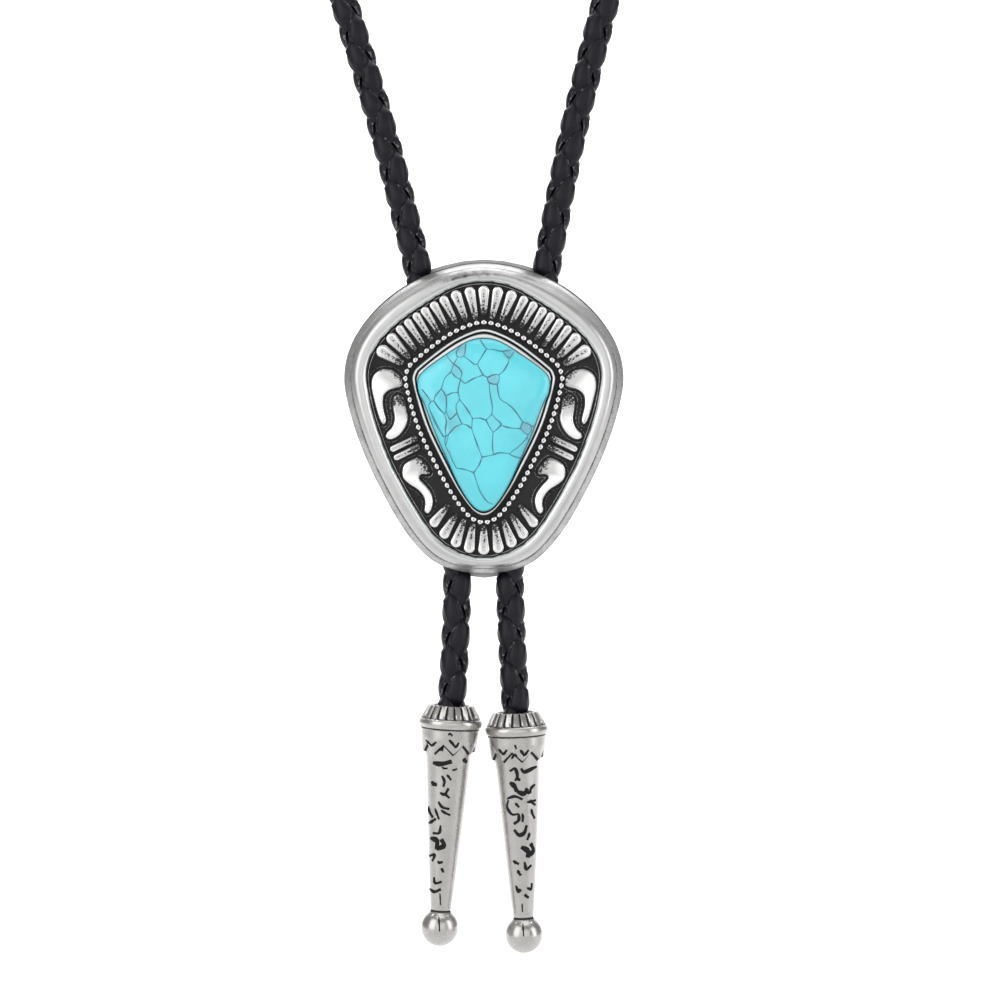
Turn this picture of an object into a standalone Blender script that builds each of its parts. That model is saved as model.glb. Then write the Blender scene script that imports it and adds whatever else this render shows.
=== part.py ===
"""Bolo tie: a cast slide with a domed turquoise stone, a braided leather cord and two cast tips.

Metres, +Z up, +X to the wearer's left as seen from the front, front facing -Y.
The origin is the nape of the neck, where the cord's loop hangs.
"""
import math

import bmesh
import bpy
from mathutils import Vector

# Clearances
FIT_GAP = 0.0003
BACK_CLEARANCE = 0.0004

# Cord
CORD_DIAMETER = 0.005
CORD_POINT_SPACING = 0.0125
CORD_STEPS = 16

# Slide, with depths measured forward from its flat back
SLIDE_WIDTH = 0.0499
SLIDE_HEIGHT = 0.0558
SLIDE_CENTRE_X = 0.0
SLIDE_CENTRE_Z = -0.2811
SLIDE_DEPTH = 0.0042
FIELD_DEPTH = 0.0022
OUTLINE_POINTS = 64
OUTLINE_STEPS = 12

# Relief in the sunk field
RELIEF_RISE = 0.0008
RELIEF_ROOT = 0.0005
RELIEF_TOP_SHARE = 0.62
BEAD_DIAMETER = 0.00088
BEAD_PITCH = 0.00128
BEAD_RISE = 0.0005
BEAD_SETBACK = 0.0012
BEAD_SIDES = 10
BEAD_TOP_SHARE = 0.62

# Stone, and the bezel's walls round it
STONE_WIDTH = 0.0234
STONE_HEIGHT = 0.0305
STONE_CENTRE_DROP = 0.0016
STONE_CROWN = 0.0026
OVAL_SHARE = 0.85
BEZEL_SIDE_WALL = 0.0010
BEZEL_TOP_WALL = 0.0018
BEZEL_BOTTOM_WALL = 0.0008
BEZEL_RISE = 0.0017

# Clip plate behind the cords
CLIP_THICKNESS = 0.0009
CLIP_WIDTH = 0.0244
CLIP_PEEK_TOP = 0.0008
CLIP_PEEK_BOTTOM = 0.0011
CLIP_LIP_HEIGHT = 0.0090
CLIP_LIP_DROP = 0.0042
CLIP_LIP_INSET = 0.0002
CLIP_SPINE_WIDTH = 0.0030
CLIP_SPINE_HEIGHT = 0.0180

# Tips, with lengths measured down the axis from the collar's top edge
TIP_LENGTH = 0.0432
TIP_RING_DIAMETER = 0.0114
TIP_BALL_DIAMETER = 0.0067
TIP_GRIP = 0.0036
TIP_FLUTES = 20
TIP_FLUTE_DEPTH = 0.00045
ZIGZAG_TEETH = 8
ZIGZAG_DEPTH = 0.0011

# Right half of the slide's outer outline, top to bottom: (across, up) as shares of its half sizes
RIM_OUTLINE = [
    (0.000, 0.984), (0.270, 0.948), (0.537, 0.850), (0.767, 0.691), (0.935, 0.484), (0.998, 0.272),
    (0.962, 0.045), (0.850, -0.250), (0.683, -0.555), (0.533, -0.768), (0.370, -0.918), (0.190, -0.985),
    (0.000, -1.000),
]

# Right half of the sunk field's outline: (across, up) as shares of the slide's half width and half height
FIELD_OUTLINE = [
    (0.000, 0.854), (0.190, 0.826), (0.387, 0.733), (0.620, 0.586), (0.770, 0.438), (0.833, 0.280),
    (0.815, 0.122), (0.768, -0.045), (0.660, -0.300), (0.505, -0.557), (0.346, -0.763), (0.176, -0.867),
    (0.000, -0.901),
]

# Right half of the bezel's outline: (across, up) as shares of the bezel's half width and half height
BEZEL_OUTLINE = [
    (0.000, 1.000), (0.225, 0.957), (0.510, 0.840), (0.880, 0.622), (0.984, 0.526), (0.984, 0.390),
    (0.805, -0.066), (0.468, -0.588), (0.262, -0.840), (0.120, -0.965), (0.000, -1.000),
]

# Right half of the stone's outline: (across, up) as shares of the stone's half width and half height
STONE_OUTLINE = [
    (0.000, 1.000), (0.245, 0.963), (0.580, 0.805), (0.885, 0.635), (0.992, 0.525), (0.978, 0.370),
    (0.900, 0.255), (0.737, -0.076), (0.557, -0.390), (0.366, -0.710), (0.170, -0.935), (0.000, -1.000),
]

# Section of the rim: (share of the way from the outer edge to the field, share of the slide's depth)
RIM_SECTION = [
    (0.00, 0.00), (0.00, 0.30), (0.12, 0.52), (0.28, 0.72), (0.50, 0.93), (0.74, 1.00), (0.93, 0.95),
    (1.00, 0.82),
]

# Section of the bezel: (share of the way from its outer edge to the stone's seat, share of its rise)
BEZEL_SECTION = [(0.00, 0.00), (0.04, 0.86), (0.18, 1.00), (0.36, 0.50), (0.62, 0.55), (0.88, 0.96)]

# Crown of the stone: (share of its outline, share of its crown)
STONE_SECTION = [(1.00, 0.00), (0.93, 0.30), (0.76, 0.64), (0.48, 0.90), (0.18, 1.00)]

# Long petals above the stone, centre to left: (outer across, outer up, inner across, inner up, half width)
TOP_PETALS = [
    (0.000, 0.798, 0.000, 0.655, 0.037), (-0.100, 0.792, -0.060, 0.632, 0.036),
    (-0.198, 0.770, -0.130, 0.617, 0.036), (-0.286, 0.742, -0.200, 0.599, 0.030),
    (-0.355, 0.707, -0.266, 0.570, 0.029), (-0.421, 0.672, -0.325, 0.537, 0.029),
    (-0.481, 0.638, -0.376, 0.492, 0.028), (-0.541, 0.598, -0.430, 0.454, 0.028),
    (-0.600, 0.556, -0.488, 0.424, 0.028), (-0.657, 0.496, -0.540, 0.381, 0.038),
    (-0.722, 0.414, -0.590, 0.340, 0.044),
]

# Short petals below the stone, centre to left, with the same columns
BOTTOM_PETALS = [
    (0.000, -0.850, 0.000, -0.712, 0.038), (-0.104, -0.840, -0.080, -0.700, 0.037),
    (-0.199, -0.805, -0.144, -0.672, 0.036), (-0.282, -0.750, -0.203, -0.636, 0.035),
    (-0.354, -0.677, -0.262, -0.576, 0.034),
]
PETAL_TAPER = 0.50
PETAL_REACH = 0.90
STROKE_END_TURNS = (90.0, 45.0, 0.0, -45.0, -90.0)

# Bars on the left side: (outer across, outer up, inner across, inner up, half width)
BARS = [(-0.648, -0.209, -0.490, -0.142, 0.020), (-0.622, -0.264, -0.474, -0.199, 0.020)]

# Outlines of the scrolls on the left side: rows of (across, up) as shares of the slide's half sizes
SCROLLS = {
    "comma": [
        (-0.600, 0.194), (-0.611, 0.249), (-0.661, 0.292), (-0.736, 0.294), (-0.784, 0.258), (-0.802, 0.194),
        (-0.785, 0.098), (-0.749, -0.014), (-0.718, -0.056), (-0.693, -0.027), (-0.713, 0.060),
        (-0.710, 0.127), (-0.668, 0.165),
    ],
    "upper_scroll": [
        (-0.609, 0.135), (-0.637, 0.104), (-0.632, 0.047), (-0.626, -0.017), (-0.650, -0.075),
        (-0.690, -0.110), (-0.695, -0.138), (-0.665, -0.150), (-0.614, -0.122), (-0.577, -0.078),
        (-0.560, -0.021), (-0.574, 0.053), (-0.571, 0.104),
    ],
    "lower_scroll": [
        (-0.464, -0.264), (-0.521, -0.277), (-0.570, -0.309), (-0.586, -0.357), (-0.576, -0.402),
        (-0.532, -0.437), (-0.471, -0.472), (-0.431, -0.517), (-0.421, -0.562), (-0.429, -0.601),
        (-0.403, -0.625), (-0.374, -0.601), (-0.359, -0.546), (-0.371, -0.492), (-0.414, -0.437),
        (-0.457, -0.396), (-0.442, -0.373), (-0.389, -0.373), (-0.381, -0.347), (-0.414, -0.299),
    ],
}
SCROLL_POINTS = 26
SCROLL_STEPS = 6
SCROLL_EDGE = 0.00022

# Right half of the clip plate's outline, top to bottom: (across, up) as shares of the plate's half sizes
CLIP_OUTLINE = [
    (0.00, 1.000), (0.40, 0.982), (0.80, 0.932), (0.99, 0.850), (1.00, 0.25), (1.00, -0.34), (0.90, -0.48),
    (0.52, -0.87), (0.38, -0.965), (0.18, -0.995), (0.00, -1.000),
]
CLIP_OUTLINE_POINTS = 40

# Turned profile of a tip, top to bottom: (share of the length, share of the ring's radius, fluted share)
TIP_PROFILE = [
    (0.000, 0.740, 1.0), (0.052, 0.930, 1.0), (0.056, 0.985, 0.0), (0.066, 1.000, 0.0), (0.086, 0.985, 0.0),
    (0.092, 0.925, 0.0), (0.150, 0.885, 0.0),
]
TIP_CUP_BOTTOM = (0.212, 0.800)
TIP_CONE_TOP = 0.690
TIP_CONE_BOTTOM = (0.842, 0.335)
TIP_NECK = (0.850, 0.300)
BALL_RINGS = 6

# Route points of the cord, chosen by hand: from behind the slide up the left side, then down the right
NECK_ROUTE = [
    (-0.00774, -0.1300, -0.28106), (-0.00900, -0.1300, -0.27260), (-0.01035, -0.1300, -0.26360),
    (-0.01179, -0.1300, -0.25514), (-0.01467, -0.1300, -0.24308), (-0.01773, -0.1300, -0.23120),
    (-0.02151, -0.1300, -0.21824), (-0.02529, -0.1300, -0.20600), (-0.03450, -0.1292, -0.17600),
    (-0.04340, -0.1268, -0.14600), (-0.05150, -0.1222, -0.11800), (-0.05850, -0.1148, -0.09200),
    (-0.06430, -0.1035, -0.06950), (-0.06750, -0.0880, -0.05100), (-0.06750, -0.0700, -0.03650),
    (-0.06430, -0.0520, -0.02500), (-0.05750, -0.0350, -0.01600), (-0.04670, -0.0200, -0.00880),
    (-0.03300, -0.0092, -0.00380), (-0.01700, -0.0024, -0.00100), (0.00000, 0.0000, 0.00000),
    (0.01700, -0.0024, -0.00100), (0.03300, -0.0092, -0.00380), (0.04670, -0.0200, -0.00880),
    (0.05750, -0.0350, -0.01600), (0.06430, -0.0520, -0.02500), (0.06700, -0.0700, -0.03650),
    (0.06600, -0.0880, -0.05100), (0.06200, -0.1035, -0.06950), (0.05550, -0.1148, -0.09200),
    (0.04770, -0.1222, -0.11800), (0.03900, -0.1268, -0.14600), (0.03020, -0.1292, -0.17600),
    (0.02196, -0.1300, -0.20600), (0.01881, -0.1300, -0.21824), (0.01571, -0.1300, -0.23120),
    (0.01332, -0.1300, -0.24308), (0.01116, -0.1300, -0.25514), (0.00990, -0.1300, -0.26360),
    (0.00864, -0.1300, -0.27260), (0.00756, -0.1300, -0.28106),
]
TAIL_ROUTES = {
    "left": [
        (-0.00769, -0.1300, -0.28136), (-0.00630, -0.1300, -0.29024), (-0.00522, -0.1300, -0.29960),
        (-0.00486, -0.1300, -0.30968), (-0.00491, -0.1300, -0.31508), (-0.00511, -0.1300, -0.32048),
        (-0.00544, -0.1300, -0.32660), (-0.00585, -0.1300, -0.33290), (-0.00605, -0.1300, -0.33668),
    ],
    "right": [
        (0.00752, -0.1300, -0.28136), (0.00603, -0.1300, -0.29024), (0.00504, -0.1300, -0.29960),
        (0.00468, -0.1300, -0.30968), (0.00479, -0.1300, -0.31508), (0.00499, -0.1300, -0.32048),
        (0.00536, -0.1300, -0.32732), (0.00572, -0.1300, -0.33416), (0.00586, -0.1300, -0.33794),
    ],
}

# Angles in degrees past which an edge stays sharp when a piece is shaded round
CAST_EDGE = 35.0
TURNED_EDGE = 40.0
STONE_EDGE = 50.0

# The cord passes behind the slide in one upright plane
CORD_PLANE_Y = NECK_ROUTE[0][1]
BEZEL_WIDTH = STONE_WIDTH + 2 * BEZEL_SIDE_WALL
BEZEL_HEIGHT = STONE_HEIGHT + BEZEL_TOP_WALL + BEZEL_BOTTOM_WALL
BEZEL_CENTRE_DROP = STONE_CENTRE_DROP + (BEZEL_BOTTOM_WALL - BEZEL_TOP_WALL) / 2
CORD_RADIUS = CORD_DIAMETER / 2
SLIDE_BACK_Y = CORD_PLANE_Y - CORD_RADIUS - BACK_CLEARANCE


def clear_scene():
    for item in list(bpy.data.objects):
        bpy.data.objects.remove(item)


def make_material(name, colour, roughness, metallic):
    material = bpy.data.materials.new(name)
    material.use_nodes = True
    shader = material.node_tree.nodes["Principled BSDF"]
    shader.inputs["Base Color"].default_value = (*colour, 1.0)
    shader.inputs["Roughness"].default_value = roughness
    shader.inputs["Metallic"].default_value = metallic
    return material


def add_object(name, mesh_builder, material, location=(0.0, 0.0, 0.0)):
    """Turns a finished bmesh into a named object with flat faces facing out."""
    bmesh.ops.recalc_face_normals(mesh_builder, faces=mesh_builder.faces)
    mesh = bpy.data.meshes.new(name)
    mesh_builder.to_mesh(mesh)
    mesh_builder.free()
    made = bpy.data.objects.new(name, mesh)
    made.location = location
    bpy.context.scene.collection.objects.link(made)
    if material:
        mesh.materials.append(material)
    return made


def shade_round(made, angle):
    made.data.shade_smooth()
    made.data.set_sharp_from_angle(angle=math.radians(angle))


def catmull_rom(before, start, end, after, share):
    """A point between start and end on the smooth curve that passes through all four."""
    square = share * share
    cube = square * share
    return 0.5 * (
        2.0 * start
        + (end - before) * share
        + (2.0 * before - 5.0 * start + 4.0 * end - after) * square
        + (3.0 * start - before - 3.0 * end + after) * cube
    )


def smooth_path(points, steps, closed=False):
    """Reads a smooth curve through points, steps times between each two."""
    count = len(points)
    if closed:
        padded = [points[-1], *points, points[0], points[1]]
    else:
        padded = [2.0 * points[0] - points[1], *points, 2.0 * points[-1] - points[-2]]
    spans = count if closed else count - 1
    path = []
    for index in range(spans):
        for step in range(steps):
            path.append(catmull_rom(*padded[index:index + 4], step / steps))
    if not closed:
        path.append(points[-1].copy())
    return path


def evenly_spaced(path, count, closed=False):
    """Reads count points at equal distances along a fine path."""
    walk = [*path, path[0]] if closed else path
    lengths = [0.0]
    for start, end in zip(walk, walk[1:]):
        lengths.append(lengths[-1] + (end - start).length)
    gaps = count if closed else count - 1
    points = []
    index = 0
    for number in range(count):
        target = lengths[-1] * number / gaps
        while index < len(walk) - 2 and lengths[index + 1] < target:
            index += 1
        share = (target - lengths[index]) / max(lengths[index + 1] - lengths[index], 1e-12)
        points.append(walk[index].lerp(walk[index + 1], min(share, 1.0)))
    return points


def path_length(path):
    return sum((end - start).length for start, end in zip(path, path[1:]))


def outline(table, width, height, count, up=0.0):
    """Closed, mirrored outline in the XZ plane from the rows of its right half."""
    right = [Vector((across * width / 2, 0.0, rise * height / 2 + up)) for across, rise in table]
    left = [Vector((-point.x, 0.0, point.z)) for point in reversed(right[1:-1])]
    return evenly_spaced(smooth_path(right + left, OUTLINE_STEPS, closed=True), count, closed=True)


def offset_outline(points, distance):
    """Moves each point of a closed outline outwards, square to the outline."""
    count = len(points)
    moved = []
    for index, point in enumerate(points):
        along = (points[(index + 1) % count] - points[index - 1]).normalized()
        moved.append(point + Vector((-along.z, 0.0, along.x)) * distance)
    return moved


def between(outer, inner, share, depth):
    """A ring a share of the way from one outline to another, at a depth in front of the back face."""
    ring = [start.lerp(end, share) for start, end in zip(outer, inner)]
    return [Vector((point.x, -depth, point.z)) for point in ring]


def add_loft(builder, rings):
    """Joins rings of equal count with faces and closes both ends."""
    rows = [[builder.verts.new(point) for point in ring] for ring in rings]
    count = len(rows[0])
    for lower, upper in zip(rows, rows[1:]):
        for index in range(count):
            following = (index + 1) % count
            builder.faces.new((lower[index], lower[following], upper[following], upper[index]))
    builder.faces.new(rows[0])
    builder.faces.new(rows[-1])


def seat_outline():
    """The hole that the stone sits in: the stone's outline with the fit gap round it."""
    return offset_outline(stone_outline(), FIT_GAP)


def stone_outline():
    return outline(STONE_OUTLINE, STONE_WIDTH, STONE_HEIGHT, OUTLINE_POINTS, up=-STONE_CENTRE_DROP)


def bezel_outline():
    return outline(BEZEL_OUTLINE, BEZEL_WIDTH, BEZEL_HEIGHT, OUTLINE_POINTS, up=-BEZEL_CENTRE_DROP)


def slide_body_rings():
    """Rings from the flat back over the rim, across the field and over the bezel into the seat."""
    rim = outline(RIM_OUTLINE, SLIDE_WIDTH, SLIDE_HEIGHT, OUTLINE_POINTS)
    field = outline(FIELD_OUTLINE, SLIDE_WIDTH, SLIDE_HEIGHT, OUTLINE_POINTS)
    bezel = bezel_outline()
    seat = seat_outline()
    rings = [between(rim, field, share, depth * SLIDE_DEPTH) for share, depth in RIM_SECTION]
    rings.append(between(rim, field, 1.0, FIELD_DEPTH))
    for share, rise in BEZEL_SECTION:
        rings.append(between(bezel, seat, share, FIELD_DEPTH + rise * BEZEL_RISE))
    rings.append(between(bezel, seat, 1.0, FIELD_DEPTH))
    return rings


def tapered_outline(start, start_half, end, end_half):
    """Outline of a straight stroke with round ends of their own half widths."""
    along = (end - start).normalized()
    across = Vector((-along.z, 0.0, along.x))
    points = []
    ends = ((end, end_half, along, across), (start, start_half, -along, -across))
    for centre, half_width, outward, side in ends:
        for turn in STROKE_END_TURNS:
            angle = math.radians(turn)
            points.append(centre + (outward * math.cos(angle) + side * math.sin(angle)) * half_width)
    return points


def at_depth(points, depth):
    return [Vector((point.x, -depth, point.z)) for point in points]


def add_raised(builder, base, top):
    """One raised piece of cast relief, rooted in the slide's field."""
    add_loft(builder, [at_depth(base, FIELD_DEPTH - RELIEF_ROOT), at_depth(top, FIELD_DEPTH + RELIEF_RISE)])


def field_point(across, up):
    return Vector((across * SLIDE_WIDTH / 2, 0.0, up * SLIDE_HEIGHT / 2))


def add_petals(builder):
    add_strokes(builder, TOP_PETALS + BOTTOM_PETALS, PETAL_REACH, PETAL_TAPER)


def add_bars(builder):
    add_strokes(builder, BARS, 1.0, 1.0)


def add_strokes(builder, table, reach, taper):
    """Straight strokes of a table and their mirror images; a stroke on the centre line is made once."""
    for outer_across, outer_up, inner_across, inner_up, half_width in table:
        for mirror in ((1.0,) if outer_across == 0.0 else (1.0, -1.0)):
            outer = field_point(mirror * outer_across, outer_up)
            inner = outer.lerp(field_point(mirror * inner_across, inner_up), reach)
            outer_half = half_width * SLIDE_WIDTH / 2
            inner_half = outer_half * taper
            base = tapered_outline(outer, outer_half, inner, inner_half)
            top = tapered_outline(
                outer, outer_half * RELIEF_TOP_SHARE, inner, inner_half * RELIEF_TOP_SHARE
            )
            add_raised(builder, base, top)


def add_scrolls(builder):
    for table in SCROLLS.values():
        for mirror in (1.0, -1.0):
            knots = [field_point(mirror * across, up) for across, up in table]
            edge = evenly_spaced(smooth_path(knots, SCROLL_STEPS, closed=True), SCROLL_POINTS, closed=True)
            add_raised(builder, edge, offset_outline(edge, mirror * SCROLL_EDGE))


def bead_centres():
    row = offset_outline(bezel_outline(), BEAD_SETBACK)
    count = round(path_length([*row, row[0]]) / BEAD_PITCH)
    return evenly_spaced(row, count, closed=True)


def add_beads(builder):
    for centre in bead_centres():
        rings = []
        for share, depth in ((1.0, -RELIEF_ROOT), (BEAD_TOP_SHARE, BEAD_RISE)):
            ring = []
            for side in range(BEAD_SIDES):
                turn = 2.0 * math.pi * side / BEAD_SIDES
                spoke = Vector((math.cos(turn), 0.0, math.sin(turn))) * BEAD_DIAMETER / 2 * share
                ring.append(centre + spoke)
            rings.append(at_depth(ring, FIELD_DEPTH + depth))
        add_loft(builder, rings)


def union(target, tool):
    """Joins a hidden tool to the target as one body."""
    tool.hide_render = True
    tool.display_type = "WIRE"
    modifier = target.modifiers.new("Union of " + tool.name, "BOOLEAN")
    modifier.operation = "UNION"
    modifier.solver = "EXACT"
    modifier.object = tool


def make_slide(material):
    location = (SLIDE_CENTRE_X, SLIDE_BACK_Y, SLIDE_CENTRE_Z)
    body = bmesh.new()
    add_loft(body, slide_body_rings())
    slide = add_object("slide", body, material, location)
    shade_round(slide, CAST_EDGE)
    kinds = {"petals": add_petals, "bars": add_bars, "scrolls": add_scrolls, "beads": add_beads}
    for kind, add_kind in kinds.items():
        relief = bmesh.new()
        add_kind(relief)
        union(slide, add_object("slide_" + kind, relief, None, location))
    return slide


def rounded_spoke(spoke, share):
    """A share of a spoke from the stone's centre, eased towards an oval as it nears the top of the dome."""
    direction = spoke.normalized()
    oval = Vector((direction.x * STONE_WIDTH / 2, 0.0, direction.z * STONE_HEIGHT / 2)) * OVAL_SHARE
    return spoke.lerp(oval, 1.0 - share) * share


def make_stone(material):
    """A domed cabochon, lifted off its seat by the fit gap."""
    edge = stone_outline()
    centre = Vector((0.0, 0.0, -STONE_CENTRE_DROP))
    rings = [at_depth(edge, FIELD_DEPTH + FIT_GAP)]
    for share, rise in STONE_SECTION:
        ring = [centre + rounded_spoke(point - centre, share) for point in edge]
        rings.append(at_depth(ring, FIELD_DEPTH + BEZEL_RISE + rise * STONE_CROWN))
    body = bmesh.new()
    add_loft(body, rings)
    stone = add_object("stone", body, material, (SLIDE_CENTRE_X, SLIDE_BACK_Y, SLIDE_CENTRE_Z))
    shade_round(stone, STONE_EDGE)
    return stone


def add_block(builder, low, high):
    """A plain block between two corners."""
    size = Vector(high) - Vector(low)
    made = bmesh.ops.create_cube(builder, size=1.0)
    bmesh.ops.scale(builder, vec=size, verts=made["verts"])
    bmesh.ops.translate(builder, vec=Vector(low) + size / 2, verts=made["verts"])


def make_back_clip(material):
    """The plain plate behind the cords, with a spine between them and a lip on each side."""
    plate_height = SLIDE_HEIGHT + CLIP_PEEK_TOP + CLIP_PEEK_BOTTOM
    plate_centre_z = SLIDE_CENTRE_Z + (CLIP_PEEK_TOP - CLIP_PEEK_BOTTOM) / 2
    front = CORD_PLANE_Y + CORD_RADIUS + FIT_GAP
    location = (SLIDE_CENTRE_X, front, plate_centre_z)
    edge = outline(CLIP_OUTLINE, CLIP_WIDTH, plate_height, CLIP_OUTLINE_POINTS)
    plate = bmesh.new()
    add_loft(plate, [at_depth(edge, 0.0), at_depth(edge, -CLIP_THICKNESS)])
    clip = add_object("back_clip", plate, material, location)
    reach = front - SLIDE_BACK_Y - FIT_GAP
    overlap = CLIP_THICKNESS / 2
    arms = bmesh.new()
    half_spine = CLIP_SPINE_WIDTH / 2
    add_block(
        arms,
        (-half_spine, -reach, -CLIP_SPINE_HEIGHT / 2),
        (half_spine, overlap, CLIP_SPINE_HEIGHT / 2),
    )
    lip_top = CLIP_LIP_HEIGHT / 2 - CLIP_LIP_DROP
    for side in (-1.0, 1.0):
        outer = side * (CLIP_WIDTH / 2 - CLIP_LIP_INSET)
        inner = outer - side * CLIP_THICKNESS
        add_block(
            arms,
            (min(outer, inner), -reach, lip_top - CLIP_LIP_HEIGHT),
            (max(outer, inner), overlap, lip_top),
        )
    union(clip, add_object("clip_arms", arms, None, location))
    return clip


def make_cord(name, route, material):
    """A round cord along the smooth curve through its route points."""
    path = smooth_path([Vector(point) for point in route], CORD_STEPS)
    count = round(path_length(path) / CORD_POINT_SPACING) + 1
    curve = bpy.data.curves.new(name, "CURVE")
    curve.dimensions = "3D"
    curve.bevel_depth = CORD_RADIUS
    curve.bevel_resolution = 3
    curve.use_fill_caps = True
    spline = curve.splines.new("POLY")
    points = evenly_spaced(path, count)
    spline.points.add(len(points) - 1)
    for knot, place in zip(spline.points, points):
        knot.co = (*place, 1.0)
    curve.materials.append(material)
    cord = bpy.data.objects.new(name, curve)
    bpy.context.scene.collection.objects.link(cord)
    return cord


def zigzag(turn):
    """A triangle wave from -1 to 1 that runs round the tip's cup."""
    phase = (turn / (2.0 * math.pi) * ZIGZAG_TEETH) % 1.0
    return 4.0 * abs(phase - 0.5) - 1.0


def turned_ring(radius, drop, fluted=0.0, wave=0.0):
    """One ring of a tip, its flutes cut at every second point."""
    ring = []
    for index in range(2 * TIP_FLUTES):
        turn = math.pi * index / TIP_FLUTES
        reach = radius - fluted * TIP_FLUTE_DEPTH * (index % 2)
        ring.append(Vector((reach * math.cos(turn), reach * math.sin(turn), -drop - wave * zigzag(turn))))
    return ring


def tip_rings():
    """Rings from the bottom of the cord's socket, out over the collar and down to the ball."""
    ring_radius = TIP_RING_DIAMETER / 2
    socket_radius = CORD_RADIUS + FIT_GAP
    rings = [turned_ring(socket_radius, TIP_GRIP + FIT_GAP), turned_ring(socket_radius, 0.0)]
    for share, reach, fluted in TIP_PROFILE:
        rings.append(turned_ring(reach * ring_radius, share * TIP_LENGTH, fluted))
    cup_share, cup_reach = TIP_CUP_BOTTOM
    cup_drop = cup_share * TIP_LENGTH
    wave = ZIGZAG_DEPTH / 2
    rings.append(turned_ring(cup_reach * ring_radius, cup_drop, wave=wave))
    rings.append(turned_ring(TIP_CONE_TOP * ring_radius, cup_drop, wave=wave))
    for share, reach in (TIP_CONE_BOTTOM, TIP_NECK):
        rings.append(turned_ring(reach * ring_radius, share * TIP_LENGTH))
    ball_radius = TIP_BALL_DIAMETER / 2
    ball_centre = TIP_LENGTH - ball_radius
    neck_angle = math.asin(TIP_NECK[1] * ring_radius / ball_radius)
    for number in range(BALL_RINGS):
        angle = neck_angle + (math.pi - neck_angle) * (number + 0.5) / BALL_RINGS
        rings.append(turned_ring(ball_radius * math.sin(angle), ball_centre - ball_radius * math.cos(angle)))
    return rings


def make_tip(side, material):
    """A cast tip on the end of a tail, in line with the cord where it enters."""
    route = [Vector(point) for point in TAIL_ROUTES[side]]
    end = route[-1]
    along = (end - route[-2]).normalized()
    body = bmesh.new()
    add_loft(body, tip_rings())
    tip = add_object("tip_" + side, body, material, end - along * TIP_GRIP)
    tip.rotation_euler = (0.0, math.asin(-along.x), 0.0)
    shade_round(tip, TURNED_EDGE)
    return tip


def build():
    clear_scene()
    silver = make_material("antiqued_silver", (0.62, 0.61, 0.59), 0.28, 1.0)
    steel = make_material("plain_clip_metal", (0.55, 0.55, 0.54), 0.35, 1.0)
    turquoise = make_material("turquoise", (0.10, 0.66, 0.78), 0.16, 0.0)
    leather = make_material("black_leather", (0.018, 0.017, 0.022), 0.48, 0.0)
    make_slide(silver)
    make_stone(turquoise)
    make_back_clip(steel)
    make_cord("neck_cord", NECK_ROUTE, leather)
    for side, route in TAIL_ROUTES.items():
        make_cord("tail_cord_" + side, route, leather)
        make_tip(side, silver)


build()
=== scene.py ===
"""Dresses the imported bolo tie: a cast slide with a domed turquoise stone, a braided cord and two engraved tips.

Metres, +Z up, front facing -Y, origin at the nape of the cord's loop.
"""

import math

import bmesh
import bpy
from bpy.props import FloatProperty, FloatVectorProperty, IntProperty, PointerProperty
from mathutils import Matrix, Vector


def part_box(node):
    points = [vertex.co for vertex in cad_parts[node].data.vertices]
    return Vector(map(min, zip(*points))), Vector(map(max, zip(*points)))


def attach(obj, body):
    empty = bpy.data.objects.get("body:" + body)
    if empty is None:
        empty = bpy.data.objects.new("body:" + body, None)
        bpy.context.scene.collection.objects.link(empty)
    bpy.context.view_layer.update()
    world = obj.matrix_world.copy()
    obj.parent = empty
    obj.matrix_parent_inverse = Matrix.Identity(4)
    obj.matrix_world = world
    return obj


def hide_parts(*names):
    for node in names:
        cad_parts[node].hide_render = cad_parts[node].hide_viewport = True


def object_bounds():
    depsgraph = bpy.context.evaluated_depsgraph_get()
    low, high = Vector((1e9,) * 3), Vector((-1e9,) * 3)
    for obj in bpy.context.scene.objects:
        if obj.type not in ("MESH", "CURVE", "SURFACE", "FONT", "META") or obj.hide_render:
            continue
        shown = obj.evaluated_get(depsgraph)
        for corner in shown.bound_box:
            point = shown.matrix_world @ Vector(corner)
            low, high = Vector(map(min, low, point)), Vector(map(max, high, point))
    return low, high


bl_info = {
    "name": "Bolo Tie",
    "version": (1, 0, 0),
    "blender": (4, 5, 0),
    "location": "View3D > Sidebar > Bolo Tie",
    "description": "Dresses a bolo tie: cast slide, turquoise, braided leather cord and engraved tips",
    "category": "Add Mesh",
}

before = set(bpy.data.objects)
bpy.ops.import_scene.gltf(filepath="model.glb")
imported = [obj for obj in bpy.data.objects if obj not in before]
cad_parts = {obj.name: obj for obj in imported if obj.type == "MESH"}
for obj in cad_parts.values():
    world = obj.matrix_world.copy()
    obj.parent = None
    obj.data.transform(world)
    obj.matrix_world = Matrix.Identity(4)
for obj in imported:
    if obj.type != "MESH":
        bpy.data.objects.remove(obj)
CAD_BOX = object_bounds()
BODY = "root"
FRONT = Vector((0.0, -1.0, 0.0))

# The slide's centre: its back face from the frame, its height on the cord from the route
SLIDE_CENTRE = Vector((0.0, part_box("slide")[1].y, -0.2811))

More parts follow.
